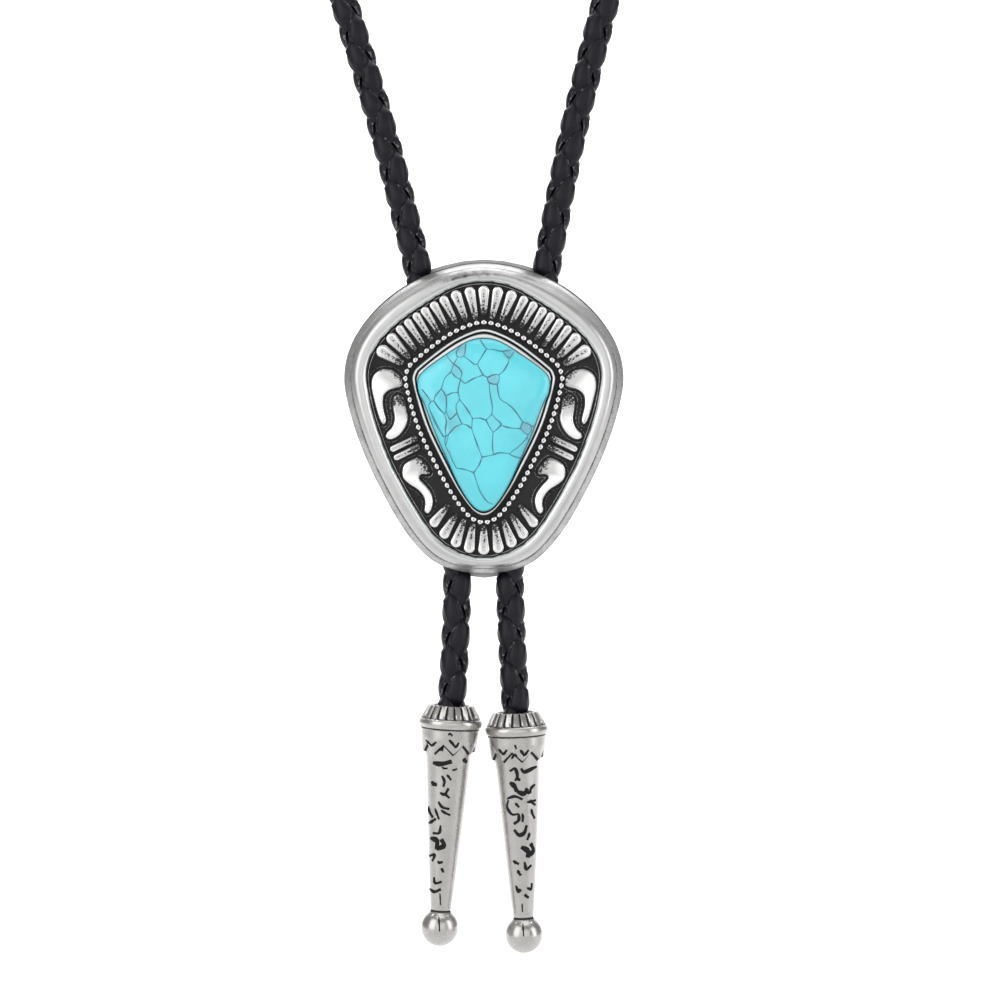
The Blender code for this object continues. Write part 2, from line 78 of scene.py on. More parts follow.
# Route points of the cord: from behind the slide up the left side, then down the right
NECK_ROUTE = [
    (-0.00774, -0.1300, -0.28106), (-0.00900, -0.1300, -0.27260), (-0.01035, -0.1300, -0.26360),
    (-0.01179, -0.1300, -0.25514), (-0.01467, -0.1300, -0.24308), (-0.01773, -0.1300, -0.23120),
    (-0.02151, -0.1300, -0.21824), (-0.02529, -0.1300, -0.20600), (-0.03450, -0.1292, -0.17600),
    (-0.04340, -0.1268, -0.14600), (-0.05150, -0.1222, -0.11800), (-0.05850, -0.1148, -0.09200),
    (-0.06430, -0.1035, -0.06950), (-0.06750, -0.0880, -0.05100), (-0.06750, -0.0700, -0.03650),
    (-0.06430, -0.0520, -0.02500), (-0.05750, -0.0350, -0.01600), (-0.04670, -0.0200, -0.00880),
    (-0.03300, -0.0092, -0.00380), (-0.01700, -0.0024, -0.00100), (0.00000, 0.0000, 0.00000),
    (0.01700, -0.0024, -0.00100), (0.03300, -0.0092, -0.00380), (0.04670, -0.0200, -0.00880),
    (0.05750, -0.0350, -0.01600), (0.06430, -0.0520, -0.02500), (0.06700, -0.0700, -0.03650),
    (0.06600, -0.0880, -0.05100), (0.06200, -0.1035, -0.06950), (0.05550, -0.1148, -0.09200),
    (0.04770, -0.1222, -0.11800), (0.03900, -0.1268, -0.14600), (0.03020, -0.1292, -0.17600),
    (0.02196, -0.1300, -0.20600), (0.01881, -0.1300, -0.21824), (0.01571, -0.1300, -0.23120),
    (0.01332, -0.1300, -0.24308), (0.01116, -0.1300, -0.25514), (0.00990, -0.1300, -0.26360),
    (0.00864, -0.1300, -0.27260), (0.00756, -0.1300, -0.28106),
]
TAIL_ROUTES = {
    "left": [
        (-0.00769, -0.1300, -0.28136), (-0.00630, -0.1300, -0.29024), (-0.00522, -0.1300, -0.29960),
        (-0.00486, -0.1300, -0.30968), (-0.00491, -0.1300, -0.31508), (-0.00511, -0.1300, -0.32048),
        (-0.00544, -0.1300, -0.32660), (-0.00585, -0.1300, -0.33290), (-0.00605, -0.1300, -0.33668),
    ],
    "right": [
        (0.00752, -0.1300, -0.28136), (0.00603, -0.1300, -0.29024), (0.00504, -0.1300, -0.29960),
        (0.00468, -0.1300, -0.30968), (0.00479, -0.1300, -0.31508), (0.00499, -0.1300, -0.32048),
        (0.00536, -0.1300, -0.32732), (0.00572, -0.1300, -0.33416), (0.00586, -0.1300, -0.33794),
    ],
}
ROUTE_STEPS = 12

# Braid of four flat laces: two turn one way and two the other, each over one and under the next
LACE_TURNS = [(0.0, 1.0), (math.pi, 1.0), (math.pi / 2, -1.0), (3 * math.pi / 2, -1.0)]
LACE_STEPS = 16
LACE_SIDES = 12
LACE_SWAY = 0.36
LACE_PLATEAU = 0.45
# Degrees that the braid is turned about its axis at the start and the end of each route
CORD_TURNS = {"neck": (0.0, 90.0), "left": (90.0, 90.0), "right": (90.0, 90.0)}

# Right half of the slide's outer outline, top to bottom: (across, up) as shares of its half sizes
RIM_OUTLINE = [
    (0.000, 0.984), (0.270, 0.948), (0.537, 0.850), (0.767, 0.691), (0.935, 0.484), (0.998, 0.272),
    (0.962, 0.045), (0.850, -0.250), (0.683, -0.555), (0.533, -0.768), (0.370, -0.918), (0.190, -0.985),
    (0.000, -1.000),
]
FIELD_OUTLINE = [
    (0.000, 0.854), (0.190, 0.826), (0.387, 0.733), (0.620, 0.586), (0.770, 0.438), (0.833, 0.280),
    (0.815, 0.122), (0.768, -0.045), (0.660, -0.300), (0.505, -0.557), (0.346, -0.763), (0.176, -0.867),
    (0.000, -0.901),
]

# Right halves of the bezel and the stone, as shares of their own half sizes
BEZEL_OUTLINE = [
    (0.000, 1.000), (0.225, 0.957), (0.510, 0.840), (0.880, 0.622), (0.984, 0.526), (0.984, 0.390),
    (0.805, -0.066), (0.468, -0.588), (0.262, -0.840), (0.120, -0.965), (0.000, -1.000),
]
STONE_OUTLINE = [
    (0.000, 1.000), (0.245, 0.963), (0.580, 0.805), (0.885, 0.635), (0.992, 0.525), (0.978, 0.370),
    (0.900, 0.255), (0.737, -0.076), (0.557, -0.390), (0.366, -0.710), (0.170, -0.935), (0.000, -1.000),
]
OUTLINE_POINTS = 192

# Section of the rim: (share of the way inwards, share of the depth, shading low down, shading at the top)
# This shading is painted: painted shade on the outer flank and over the top, painted highlight below 0 along the
# inner band, and black down the wall into the field
RIM_SECTION = [
    (0.00, 0.00, 0.60, 0.90), (0.00, 0.26, 0.56, 0.85), (0.04, 0.36, 0.47, 0.62), (0.13, 0.50, 0.43, 0.12),
    (0.24, 0.64, 0.43, 0.25), (0.29, 0.69, 0.52, 0.36), (0.31, 0.69, 0.55, 0.38), (0.34, 0.72, 0.42, 0.40),
    (0.42, 0.84, 0.10, 0.42), (0.54, 0.95, 0.00, 0.42), (0.68, 1.00, 0.00, 0.40), (0.80, 0.985, -0.10, 0.20),
    (0.90, 0.95, -0.25, -0.30), (0.965, 0.88, -0.40, -0.50), (0.995, 0.79, 0.00, -0.20),
    (1.00, 0.74, 0.40, 0.40), (1.00, 0.71, 1.00, 1.00),
]

# Where the rim changes from its low shading to its top one, as shares of the slide's half height; the darker top
# is painted shade
RIM_CHANGE = (0.40, 0.86)

# Low ridge in the field beside the rim: (distance from the rim, rise over the field, recess), in metres
FIELD_RIDGE = [(0.00017, 0.0, 1.00), (0.00023, 0.00014, 0.45), (0.00032, 0.00014, 0.45), (0.00038, 0.0, 1.00)]

# Where the rim is streaked black near its top: centre, half width, first share of the rim, added recess
RIM_SPECKLE = (-0.0022, 0.0062, 0.46, 0.15)

# Outer ridge and groove of the bezel: (distance inside its outline in metres, share of its rise, recess); a
# recess below 0 paints a highlight on the ridge's top
BEZEL_RIDGE = [
    (0.00000, 0.00, 1.00), (0.00002, 0.50, 1.00), (0.00005, 0.80, 0.20), (0.00012, 0.94, -0.40),
    (0.00024, 1.00, -0.50), (0.00038, 1.00, -0.50), (0.00048, 0.95, -0.40), (0.00054, 0.80, 0.20),
    (0.00058, 0.50, 1.00), (0.00078, 0.50, 1.00),
]

# Share of the bezel's wall that the ridge and groove may take where the wall is thin
RIDGE_ROOM = 0.86

# Inner lip of the bezel: (share of the way from the groove to the stone, share of its rise, recess); a recess
# below 0 paints a highlight on the lip
BEZEL_LIP = [
    (0.06, 0.76, 0.30), (0.20, 0.92, -0.10), (0.50, 0.98, -0.30), (0.85, 0.95, 0.06), (1.00, 0.84, 0.30),
]
BEZEL_FIT = 0.00006

# Domes of the relief: (share of the half width, share of the rise, recess), root to crest; a recess below 0
# paints a highlight along the crest
PETAL_DOME = [
    (1.00, -0.60, 1.00), (1.00, 0.30, 0.70), (0.95, 0.66, -0.20), (0.78, 0.92, -0.50), (0.46, 1.00, -0.40),
    (0.16, 0.94, 0.34),
]
SCROLL_DOME = [
    (0.00, -0.60, 1.00), (0.00, 0.30, 0.70), (0.05, 0.66, -0.20), (0.15, 0.92, -0.50), (0.34, 1.00, -0.50),
]
PETAL_SWELL = 1.18

# Long petals above the stone, centre to left: (outer across, outer up, inner across, inner up, half width)
TOP_PETALS = [
    (0.000, 0.798, 0.000, 0.655, 0.037), (-0.100, 0.792, -0.060, 0.632, 0.036),
    (-0.198, 0.770, -0.130, 0.617, 0.036), (-0.286, 0.742, -0.200, 0.599, 0.030),
    (-0.355, 0.707, -0.266, 0.570, 0.029), (-0.421, 0.672, -0.325, 0.537, 0.029),
    (-0.481, 0.638, -0.376, 0.492, 0.028), (-0.541, 0.598, -0.430, 0.454, 0.028),
    (-0.600, 0.556, -0.488, 0.424, 0.028), (-0.657, 0.496, -0.540, 0.381, 0.038),
    (-0.722, 0.414, -0.590, 0.340, 0.044),
]
BOTTOM_PETALS = [
    (0.000, -0.850, 0.000, -0.712, 0.038), (-0.104, -0.840, -0.080, -0.700, 0.037),
    (-0.199, -0.805, -0.144, -0.672, 0.036), (-0.282, -0.750, -0.203, -0.636, 0.035),
    (-0.354, -0.677, -0.262, -0.576, 0.034),
]
PETAL_TAPER = 0.50
PETAL_POINTS = 12
PETAL_WEAR = (0.34, 0.84)
BARS = [(-0.648, -0.209, -0.490, -0.142, 0.020), (-0.622, -0.264, -0.474, -0.199, 0.020)]
BAR_WEAR = (0.30, 0.90)

# Outlines of the scrolls on the left side, and where each blackens: (table, bright end, dark end)
SCROLLS = {
    "comma": (
        [
            (-0.584, 0.190), (-0.583, 0.244), (-0.640, 0.292), (-0.728, 0.300), (-0.788, 0.262),
            (-0.806, 0.194), (-0.785, 0.098), (-0.749, -0.014), (-0.718, -0.056), (-0.693, -0.027),
            (-0.713, 0.060), (-0.710, 0.127), (-0.668, 0.165),
        ],
        (-0.750, 0.100), (-0.560, 0.260),
    ),
    "upper_scroll": (
        [
            (-0.609, 0.142), (-0.648, 0.112), (-0.648, 0.047), (-0.638, -0.017), (-0.656, -0.070),
            (-0.695, -0.106), (-0.702, -0.138), (-0.665, -0.152), (-0.606, -0.128), (-0.560, -0.078),
            (-0.538, -0.014), (-0.552, 0.056), (-0.562, 0.112),
        ],
        (-0.650, -0.110), (-0.590, 0.110),
    ),
    "lower_scroll": (
        [
            (-0.464, -0.264), (-0.521, -0.277), (-0.570, -0.309), (-0.586, -0.357), (-0.576, -0.402),
            (-0.532, -0.437), (-0.471, -0.472), (-0.431, -0.517), (-0.421, -0.562), (-0.429, -0.601),
            (-0.403, -0.625), (-0.374, -0.601), (-0.359, -0.546), (-0.371, -0.492), (-0.414, -0.437),
            (-0.457, -0.396), (-0.442, -0.373), (-0.389, -0.373), (-0.381, -0.347), (-0.414, -0.299),
        ],
        (-0.560, -0.420), (-0.400, -0.310),
    ),
}
SCROLL_WEAR = (0.42, 0.88)
SCROLL_POINTS = 72
SCROLL_WIDTH = 0.0030
RIDGE_SETBACK = 0.00042
RIDGE_WIDTH = 0.00022
RIDGE_RECESS = 0.48

# Crown of the stone: (share of its outline, share of its crown)
STONE_SECTION = [
    (1.00, 0.00), (0.985, 0.14), (0.96, 0.26), (0.92, 0.38), (0.86, 0.52), (0.78, 0.65), (0.68, 0.765),
    (0.56, 0.86), (0.43, 0.925), (0.30, 0.965), (0.17, 0.99), (0.05, 1.00),
]
STONE_STEPS = 4

# Veins of the stone, drawn on a chart whose units are shares of a millimetre: x right and y down
CHART_UNIT = 0.00002282
CHART_CENTRE = (617.0, 724.0)
VEINS = [
    [(590, 135), (640, 205), (690, 210), (760, 225), (860, 212), (930, 240)],
    [(760, 225), (815, 275), (860, 212)],
    [(815, 275), (805, 320), (770, 380), (735, 410)],
    [(640, 205), (605, 265), (572, 325), (590, 370), (612, 408), (645, 432)],
    [(645, 432), (690, 412), (735, 415), (722, 480), (660, 470), (645, 432)],
    [(480, 140), (475, 200), (462, 262), (415, 268), (405, 235), (430, 190), (480, 150)],
    [(320, 230), (345, 280), (385, 325), (425, 355), (450, 400), (440, 445), (475, 478)],
    [(462, 262), (510, 300), (545, 328), (572, 325)],
    [(415, 268), (400, 300), (385, 325), (365, 385)],
    [(365, 385), (400, 425), (440, 445)],
    [(475, 478), (540, 440), (612, 412)],
    [(440, 445), (425, 500), (420, 545), (430, 600), (405, 645), (412, 705), (448, 788)],
    [(365, 385), (315, 440), (290, 515), (245, 570), (232, 612)],
    [(290, 515), (325, 575), (330, 640), (328, 690), (345, 735), (362, 752), (412, 705)],
    [(325, 575), (370, 552), (420, 545)],
    [(140, 520), (185, 580), (210, 615), (232, 612), (265, 660), (315, 715)],
    [(210, 615), (190, 650), (215, 720), (250, 800), (300, 885)],
    [(328, 690), (315, 715), (328, 770), (322, 830), (325, 880)],
    [(300, 885), (325, 880), (345, 870), (395, 815), (450, 790)],
    [(325, 880), (315, 920), (322, 960), (350, 1010), (372, 1065), (405, 1130)],
    [(345, 870), (330, 930), (322, 960), (340, 1000)],
    [(430, 600), (470, 650), (510, 710), (530, 748)],
    [(448, 788), (490, 800), (522, 818), (530, 748)],
    [(530, 748), (590, 745), (635, 757), (680, 715)],
    [(660, 470), (668, 560), (684, 655), (680, 715)],
    [(722, 480), (730, 550), (748, 600), (810, 640), (860, 690), (918, 772)],
    [(680, 715), (715, 755), (745, 780), (748, 800), (715, 835), (690, 850), (655, 800), (635, 757)],
    [(748, 800), (820, 820), (905, 825)],
    [(918, 772), (905, 825), (960, 870), (988, 808), (918, 772)],
    [(988, 808), (1040, 785)],
    [(522, 818), (550, 900), (575, 970), (605, 1045)],
    [(690, 850), (685, 930), (688, 1000), (700, 1025)],
    [(605, 1045), (660, 1035), (700, 1025), (740, 1012), (820, 1018)],
    [(960, 870), (940, 910), (880, 970), (820, 1018), (855, 1040), (910, 1055)],
    [(955, 890), (965, 935)],
    [(605, 1045), (580, 1110), (540, 1165)],
    [(405, 1130), (470, 1140), (540, 1165)],
    [(540, 1165), (560, 1230), (590, 1310), (640, 1385), (690, 1410)],
    [(190, 650), (205, 690), (260, 800), (310, 890)],
]

# Cells of the stone that look greyer: (chart x, chart y, half width of the patch in chart units, share of grey)
GREY_CELLS = [
    (440, 215, 40, 0.80), (410, 375, 40, 0.55), (690, 448, 36, 0.75), (945, 815, 42, 1.00),
    (812, 245, 36, 0.80), (895, 222, 30, 0.70), (380, 800, 52, 0.55), (310, 580, 34, 0.45),
    (350, 300, 34, 0.30), (170, 590, 30, 0.45), (355, 710, 26, 0.50), (700, 530, 30, 0.25),
    (340, 1010, 22, 0.50), (485, 700, 34, 0.20), (460, 1240, 60, 0.15), (905, 1000, 50, 0.18),
    (700, 785, 40, 0.22), (870, 905, 40, 0.10),
]

# Turned profile of a tip from the top: (share of the length, share of the ring's radius, fluted share, recess); a
# recess below 0 paints a highlight round the ring
TIP_PROFILE = [
    (-0.003, 0.600, 0.0, 0.40), (-0.006, 0.665, 0.2, 0.00), (-0.004, 0.722, 0.7, 0.00),
    (0.006, 0.768, 1.0, 0.00), (0.026, 0.845, 1.0, 0.00), (0.044, 0.905, 1.0, 0.00), (0.049, 0.920, 0.2, 0.75),
    (0.052, 0.950, 0.0, 0.20), (0.057, 0.986, 0.0, -0.10), (0.065, 1.000, 0.0, -0.20),
    (0.077, 0.994, 0.0, -0.20), (0.084, 0.970, 0.0, 0.00), (0.089, 0.930, 0.0, 0.90), (0.093, 0.918, 0.0, 0.60),
    (0.099, 0.916, 0.0, 0.00), (0.125, 0.902, 0.0, 0.00), (0.138, 0.896, 0.0, 0.00),
]
# Shelf at the foot of the cup: (share of the length, share of the ring's radius, recess); the black under its
# step is painted shade
TIP_SHELF = [
    (0.165, 0.850, 0.00), (0.170, 0.838, 0.00), (0.172, 0.780, 0.90), (0.174, 0.746, 1.00),
    (0.179, 0.738, 1.00), (0.182, 0.734, 0.00),
]
TIP_CONE = [
    (0.250, 0.684, 0.00), (0.350, 0.632, 0.00), (0.480, 0.560, 0.00), (0.610, 0.484, 0.00),
    (0.730, 0.411, 0.00), (0.826, 0.342, 0.00), (0.842, 0.334, 0.00), (0.846, 0.322, 0.30),
    (0.850, 0.306, 1.00),
]
TIP_SPOKES = 160
ZIGZAG_TEETH = 8
ZIGZAG_DEPTH = 0.0017
ZIGZAG_TURN = 0.24
BALL_RINGS = 20

# Engraved strokes of the tips, drawn on one chart: (width, points), x right and y down, in chart units
STROKE_UNIT = 0.00003098
STROKE_SWELL = 1.62
STROKE_SINK = 0.30
STROKE_TAPER = 0.25
STROKE_CORNER = (-0.01512, -0.33020)
STROKES = {
    "left": [
        (13, [(150, 290), (168, 308), (185, 325)]), (13, [(185, 325), (198, 314), (210, 302)]),
        (13, [(285, 290), (305, 312), (325, 335)]), (13, [(325, 335), (333, 322), (342, 306)]),
        (10, [(280, 262), (292, 255), (304, 268)]), (22, [(222, 346), (236, 342), (252, 346)]),
        (22, [(192, 424), (240, 430), (302, 416)]),
        (20, [(366, 402), (376, 410), (386, 418)]), (9, [(243, 448), (258, 456), (277, 455)]),
        (9, [(303, 466), (318, 464), (332, 458)]), (13, [(243, 498), (258, 530), (252, 562)]),
        (12, [(272, 493), (284, 506), (297, 524)]), (20, [(182, 536), (196, 546), (213, 550)]),
        (14, [(232, 598), (260, 606), (283, 572)]), (12, [(258, 602), (272, 614), (288, 628)]),
        (13, [(222, 648), (245, 680), (287, 692)]), (12, [(203, 688), (214, 718), (227, 752)]),
        (12, [(238, 698), (262, 714), (292, 727)]), (18, [(166, 676), (172, 708), (190, 742)]),
        (15, [(168, 772), (186, 764), (208, 748)]), (14, [(236, 786), (228, 830), (192, 832)]),
        (24, [(178, 862), (214, 876), (214, 926)]), (22, [(214, 926), (256, 904), (240, 866)]),
        (15, [(163, 966), (200, 958), (188, 994)]), (13, [(217, 998), (232, 1004), (248, 998)]),
        (13, [(238, 1036), (246, 1046), (252, 1060)]), (15, [(198, 1086), (204, 1122), (243, 1114)]),
        (15, [(172, 1156), (200, 1172), (238, 1158)]), (7, [(232, 1182), (234, 1214), (236, 1250)]),
        (8, [(226, 1318), (228, 1360), (230, 1402)]),
    ],
    "right": [
        (13, [(573, 343), (587, 360), (600, 377)]), (13, [(600, 377), (610, 364), (620, 348)]),
        (13, [(698, 348), (711, 366), (723, 382)]), (13, [(723, 382), (735, 366), (747, 348)]),
        (10, [(667, 318), (671, 330), (676, 343)]), (12, [(648, 400), (668, 376), (690, 400)]),
        (17, [(703, 456), (722, 476), (770, 456), (793, 446)]),
        (15, [(638, 472), (668, 458), (682, 500), (668, 528)]), (22, [(638, 538), (664, 558), (680, 590)]),
        (22, [(680, 590), (720, 602), (742, 572)]), (15, [(682, 516), (690, 520), (699, 523)]),
        (15, [(738, 592), (746, 596), (754, 600)]), (13, [(622, 632), (668, 619), (712, 636)]),
        (14, [(630, 640), (622, 680), (650, 722), (690, 720)]), (15, [(690, 720), (690, 756), (662, 778)]),
        (12, [(668, 658), (680, 668), (692, 682)]), (13, [(710, 718), (714, 742), (711, 767)]),
        (13, [(738, 652), (764, 648), (788, 640)]), (18, [(663, 812), (690, 842), (722, 830), (736, 786)]),
        (14, [(752, 828), (748, 850), (738, 872)]), (24, [(703, 912), (742, 934), (744, 972)]),
        (22, [(744, 972), (774, 932), (760, 892)]), (14, [(657, 992), (674, 1004), (692, 1011)]),
        (15, [(723, 998), (734, 1042), (762, 1018)]), (14, [(683, 1046), (690, 1062), (702, 1078)]),
        (15, [(673, 1136), (688, 1172), (702, 1158)]), (14, [(738, 1150), (762, 1156), (766, 1122)]),
        (14, [(723, 1188), (734, 1198), (747, 1206)]), (7, [(709, 1240), (710, 1265), (712, 1290)]),
        (8, [(714, 1358), (716, 1394), (718, 1432)]), (14, [(785, 549), (762, 570), (757, 600)]),
        (14, [(757, 638), (770, 655), (785, 667)]), (14, [(763, 690), (768, 715), (782, 745)]),
    ],
}


# Points read between two given ones on outlines, scrolls and drawn lines
OUTLINE_STEPS = 12
SCROLL_STEPS = 8
LINE_STEPS = 5

# Section of a lace: how square its sides are, and how steeply and from where its edges turn to cut leather
LACE_SQUARE = 0.8
LACE_CUT = (1.6, 0.6)
WELD = 0.00001

# Patina: how soon speckle sets in with the recess, its clouds, and what they and the black add to the roughness
PATINA_ONSET = 4.0
PATINA_CLOUDS = 420.0
CLOUD_ROUGHNESS = 0.16
BLACK_ROUGHNESS = 0.30
# How strongly a recess below 0 turns into the painted highlight
PAINTED_HIGHLIGHT_GAIN = -2.0

# Black streaks of the rim: waves across in radians a metre, their bend, waves along; then mean and swing
STREAK_WAVES = (12700.0, 4.0, 6100.0)
STREAK_SHARES = (0.8, 0.7)
RIM_INNER_EDGE = 0.998
STREAK_ONSET = 5.0

# Black limit up to which a motif's recess still deepens
WORN_LIMIT = 0.68
BAR_SWELL = 1.18

# Beads: segments and rings, seat above the field in radii, the dimple at the crown, and the recess below it
BEAD_FACES = (14, 8)
BEAD_SEAT = 0.30
BEAD_TOP = 0.99
BEAD_DIMPLE = 0.14
BEAD_DIMPLE_RECESS = 0.95
# Recess down the bead: black at its foot, fading up the bead to a painted highlight on its crown
BEAD_FOOT = 0.8
BEAD_FADE = 4.0
BEAD_PAINTED_HIGHLIGHT = -0.45

# Greyer cells of the stone: where their patch ends, and the width of its soft edge, in half widths
PATCH_END = 1.35
PATCH_EDGE = 0.5
OVAL_SHARE = 0.85

# Inlaid lines: tube radius, reach of the search for the surface, swell of an even line, end of a pointed one
TUBE_RADIUS = 0.0005
PROBE_REACH = 0.05
LINE_SWELL = (0.88, 0.14, 9.0)
LINE_END = 0.30
LINE_POWER = 0.6

# Grooves of a tip's collar: half width and soft edge, as shares of their spacing
FLUTE_HALF = 0.17
FLUTE_EDGE = 0.08

# Floor: its size, and the line beyond which its edge is the wall's foot. Then the wall's height and the bend
FLOOR_SIZE = 4.0
WALL_LINE = 1.0
WALL_HEIGHT = 3.0
BEND_RADIUS = 1.0
BEND_STEPS = 24

# Area lights: name, place, target, width, height, watts
PIECE_PLACE = Vector((0.0, -0.13, -0.29))
WALL_PLACE = Vector((0.0, 2.0, 0.0))
LIGHTS = [
    ("front_light", (0.15, -1.45, 0.00), PIECE_PLACE, 1.6, 1.2, 5.0),
    ("key_light", (-0.80, -0.80, 0.10), PIECE_PLACE, 0.8, 1.2, 5.0),
    ("fill_light", (1.00, -0.50, -0.10), PIECE_PLACE, 0.5, 1.1, 3.5),
    ("top_light", (0.10, -0.35, 0.70), PIECE_PLACE, 0.9, 0.5, 2.0),
    ("sheet_light", (0.0, 0.35, 0.90), WALL_PLACE, 1.6, 0.8, 45.0),
]
WORLD_STRENGTH = 0.32


def size(name, description, default):
    return FloatProperty(name=name, description=description, default=default, unit="LENGTH")


def shade(name, description, default):
    return FloatVectorProperty(name=name, description=description, default=default, subtype="COLOR")


class CordSettings(bpy.types.PropertyGroup):
    diameter: size("Diameter", "Width of the braided cord", 0.005)
    repeat: size("Repeat", "Length of the braid's pattern along the cord", 0.0086)
    lace_width: size("Lace width", "Width of one flat lace", 0.0044)
    lace_thickness: size("Lace thickness", "Thickness of one flat lace", 0.00095)
    core: size("Core", "Mean distance of the laces from the cord's axis", 0.00178)
    lace_crown: size("Lace crown", "How far a lace's edges curl in below its middle", 0.00046)
    weave: size("Weave", "How far a lace rises over and dips under the others", 0.00054)
    colour: shade("Leather", "Colour of the dyed leather", (0.0042, 0.0042, 0.0072))


class SlideSettings(bpy.types.PropertyGroup):
    width: size("Width", "Width of the slide", 0.0499)
    height: size("Height", "Height of the slide", 0.0558)
    depth: size("Depth", "Back to the crest of the rim", 0.0042)
    field_depth: size("Field", "Back to the sunk field", 0.0022)
    relief_rise: size("Relief", "Rise of petals and scrolls over the field", 0.0008)
    bezel_width: size("Bezel width", "Width over the bezel", 0.0254)
    bezel_height: size("Bezel height", "Height over the bezel", 0.0331)
    bezel_drop: size("Bezel drop", "Bezel's centre below the slide's", 0.0011)
    bezel_rise: size("Bezel rise", "Rise of the bezel", 0.0017)
    bead_diameter: size("Bead", "Diameter of one bead", 0.00118)
    bead_pitch: size("Bead pitch", "Bead to bead", 0.00128)
    bead_setback: size("Bead setback", "Bead row outside the bezel", 0.0012)
    silver: shade("Silver", "Colour of the satin rim", (0.66, 0.66, 0.655))
    # The high spots' colour is a painted highlight
    painted_highlight: shade("Shine", "Colour of the high spots", (0.95, 0.95, 0.94))
    patina: shade("Patina", "Colour of the blackened recesses", (0.010, 0.009, 0.011))


class StoneSettings(bpy.types.PropertyGroup):
    width: size("Width", "Width of the stone", 0.0234)
    height: size("Height", "Height of the stone", 0.0305)
    drop: size("Drop", "Stone's centre below the slide's", 0.0016)
    crown: size("Crown", "Rise of the dome over the bezel", 0.0026)
    fit_gap: size("Fit gap", "Gap round the stone in its seat", 0.0003)
    vein_width: size("Vein width", "Width of a vein", 0.00032)
    turquoise: shade("Turquoise", "Colour of the stone", (0.107, 0.680, 0.775))
    grey: shade("Grey cells", "Colour of the greyer cells", (0.175, 0.49, 0.60))
    vein: shade("Vein", "Colour of the veins", (0.045, 0.13, 0.18))


class TipSettings(bpy.types.PropertyGroup):
    length: size("Length", "Collar's top edge to the ball's end", 0.0432)
    ring_diameter: size("Ring", "Diameter of the collar's ring", 0.0114)
    ball_diameter: size("Ball", "Diameter of the ball", 0.0067)
    grip: size("Grip", "Length of cord inside the socket", 0.0036)
    socket: size("Socket", "Diameter of the cord's socket", 0.0056)
    flutes: IntProperty(name="Flutes", description="Grooves round the collar", default=20, min=6)
    flute_depth: size("Flute depth", "Depth of a groove", 0.00042)
    silver: shade("Silver", "Colour of the cast tips", (0.60, 0.585, 0.565))


class StageSettings(bpy.types.PropertyGroup):
    camera_place: FloatVectorProperty(
        name="Camera", description="Place of the camera", default=(0.00288, -0.555, -0.296), subtype="XYZ"
    )
    lens: FloatProperty(name="Lens", description="Focal length in millimetres", default=85.0)
    floor_drop: size("Floor drop", "Floor below the tips", 0.10)
    pale: shade("Pale", "Colour of floor and backdrop", (0.93, 0.93, 0.93))


def clamped(value):
    return min(max(value, 0.0), 1.0)


def only(piece):
    """Makes a piece the only one that operators act on."""
    if bpy.context.object and bpy.context.object.mode != "OBJECT":
        bpy.ops.object.mode_set(mode="OBJECT")
    bpy.ops.object.select_all(action="DESELECT")
    if piece:
        piece.select_set(True)
        bpy.context.view_layer.objects.active = piece


def renamed(piece, name):
    piece.name = name
    piece.data.name = name
    return piece


def smooth_path(points, steps, closed=False):
    """Reads the smooth curve that passes through points, steps times between each two."""
    points = [Vector(point) for point in points]
    if closed:
        padded = [points[-1], *points, points[0], points[1]]
        spans = len(points)
    else:
        padded = [2 * points[0] - points[1], *points, 2 * points[-1] - points[-2]]
        spans = len(points) - 1
    path = []
    for index in range(spans):
        before, start, end, after = padded[index:index + 4]
        for step in range(steps):
            share = step / steps
            path.append(0.5 * (
                2 * start + (end - before) * share
                + (2 * before - 5 * start + 4 * end - after) * share ** 2
                + (3 * start - before - 3 * end + after) * share ** 3
            ))
    if not closed:
        path.append(points[-1])
    return path


def path_length(path):
    return sum((end - start).length for start, end in zip(path, path[1:]))


def evenly_spaced(path, count, closed=False):
    """Reads count points at equal distances along a fine path."""
    walk = [*path, path[0]] if closed else path
    reach = [0.0]
    for start, end in zip(walk, walk[1:]):
        reach.append(reach[-1] + (end - start).length)
    gaps = count if closed else count - 1
    points = []
    index = 0
    for number in range(count):
        target = reach[-1] * number / gaps
        while index < len(walk) - 2 and reach[index + 1] < target:
            index += 1
        span = max(reach[index + 1] - reach[index], 1e-12)
        points.append(walk[index].lerp(walk[index + 1], min((target - reach[index]) / span, 1.0)))
    return points


def outline(table, width, height, count, up=0.0):
    """Closed, mirrored outline in the XZ plane from the rows of its right half."""
    right = [Vector((across * width / 2, 0.0, rise * height / 2 + up)) for across, rise in table]
    left = [Vector((-point.x, 0.0, point.z)) for point in reversed(right[1:-1])]
    return evenly_spaced(smooth_path(right + left, OUTLINE_STEPS, closed=True), count, closed=True)


def offset_outline(points, distance):
    """Moves each point of a closed outline outwards, square to the outline."""
    moved = []
    for index, point in enumerate(points):
        along = (points[(index + 1) % len(points)] - points[index - 1]).normalized()
        moved.append(point + Vector((-along.z, 0.0, along.x)) * distance)
    return moved


def on_slide(point, depth):
    """A point of the slide's own plane, at a depth in front of its back face, in the row frame."""
    return SLIDE_CENTRE + Vector((point.x, -depth, point.z))


def close_mesh():
    """Fills the holes of the mesh in edit mode, turns its faces outwards and leaves edit mode."""
    bpy.ops.mesh.select_all(action="DESELECT")
    bpy.ops.mesh.select_non_manifold()
    bpy.ops.mesh.fill_holes(sides=0)
    bpy.ops.mesh.select_all(action="SELECT")
    bpy.ops.mesh.normals_make_consistent(inside=False)
    bpy.ops.object.mode_set(mode="OBJECT")


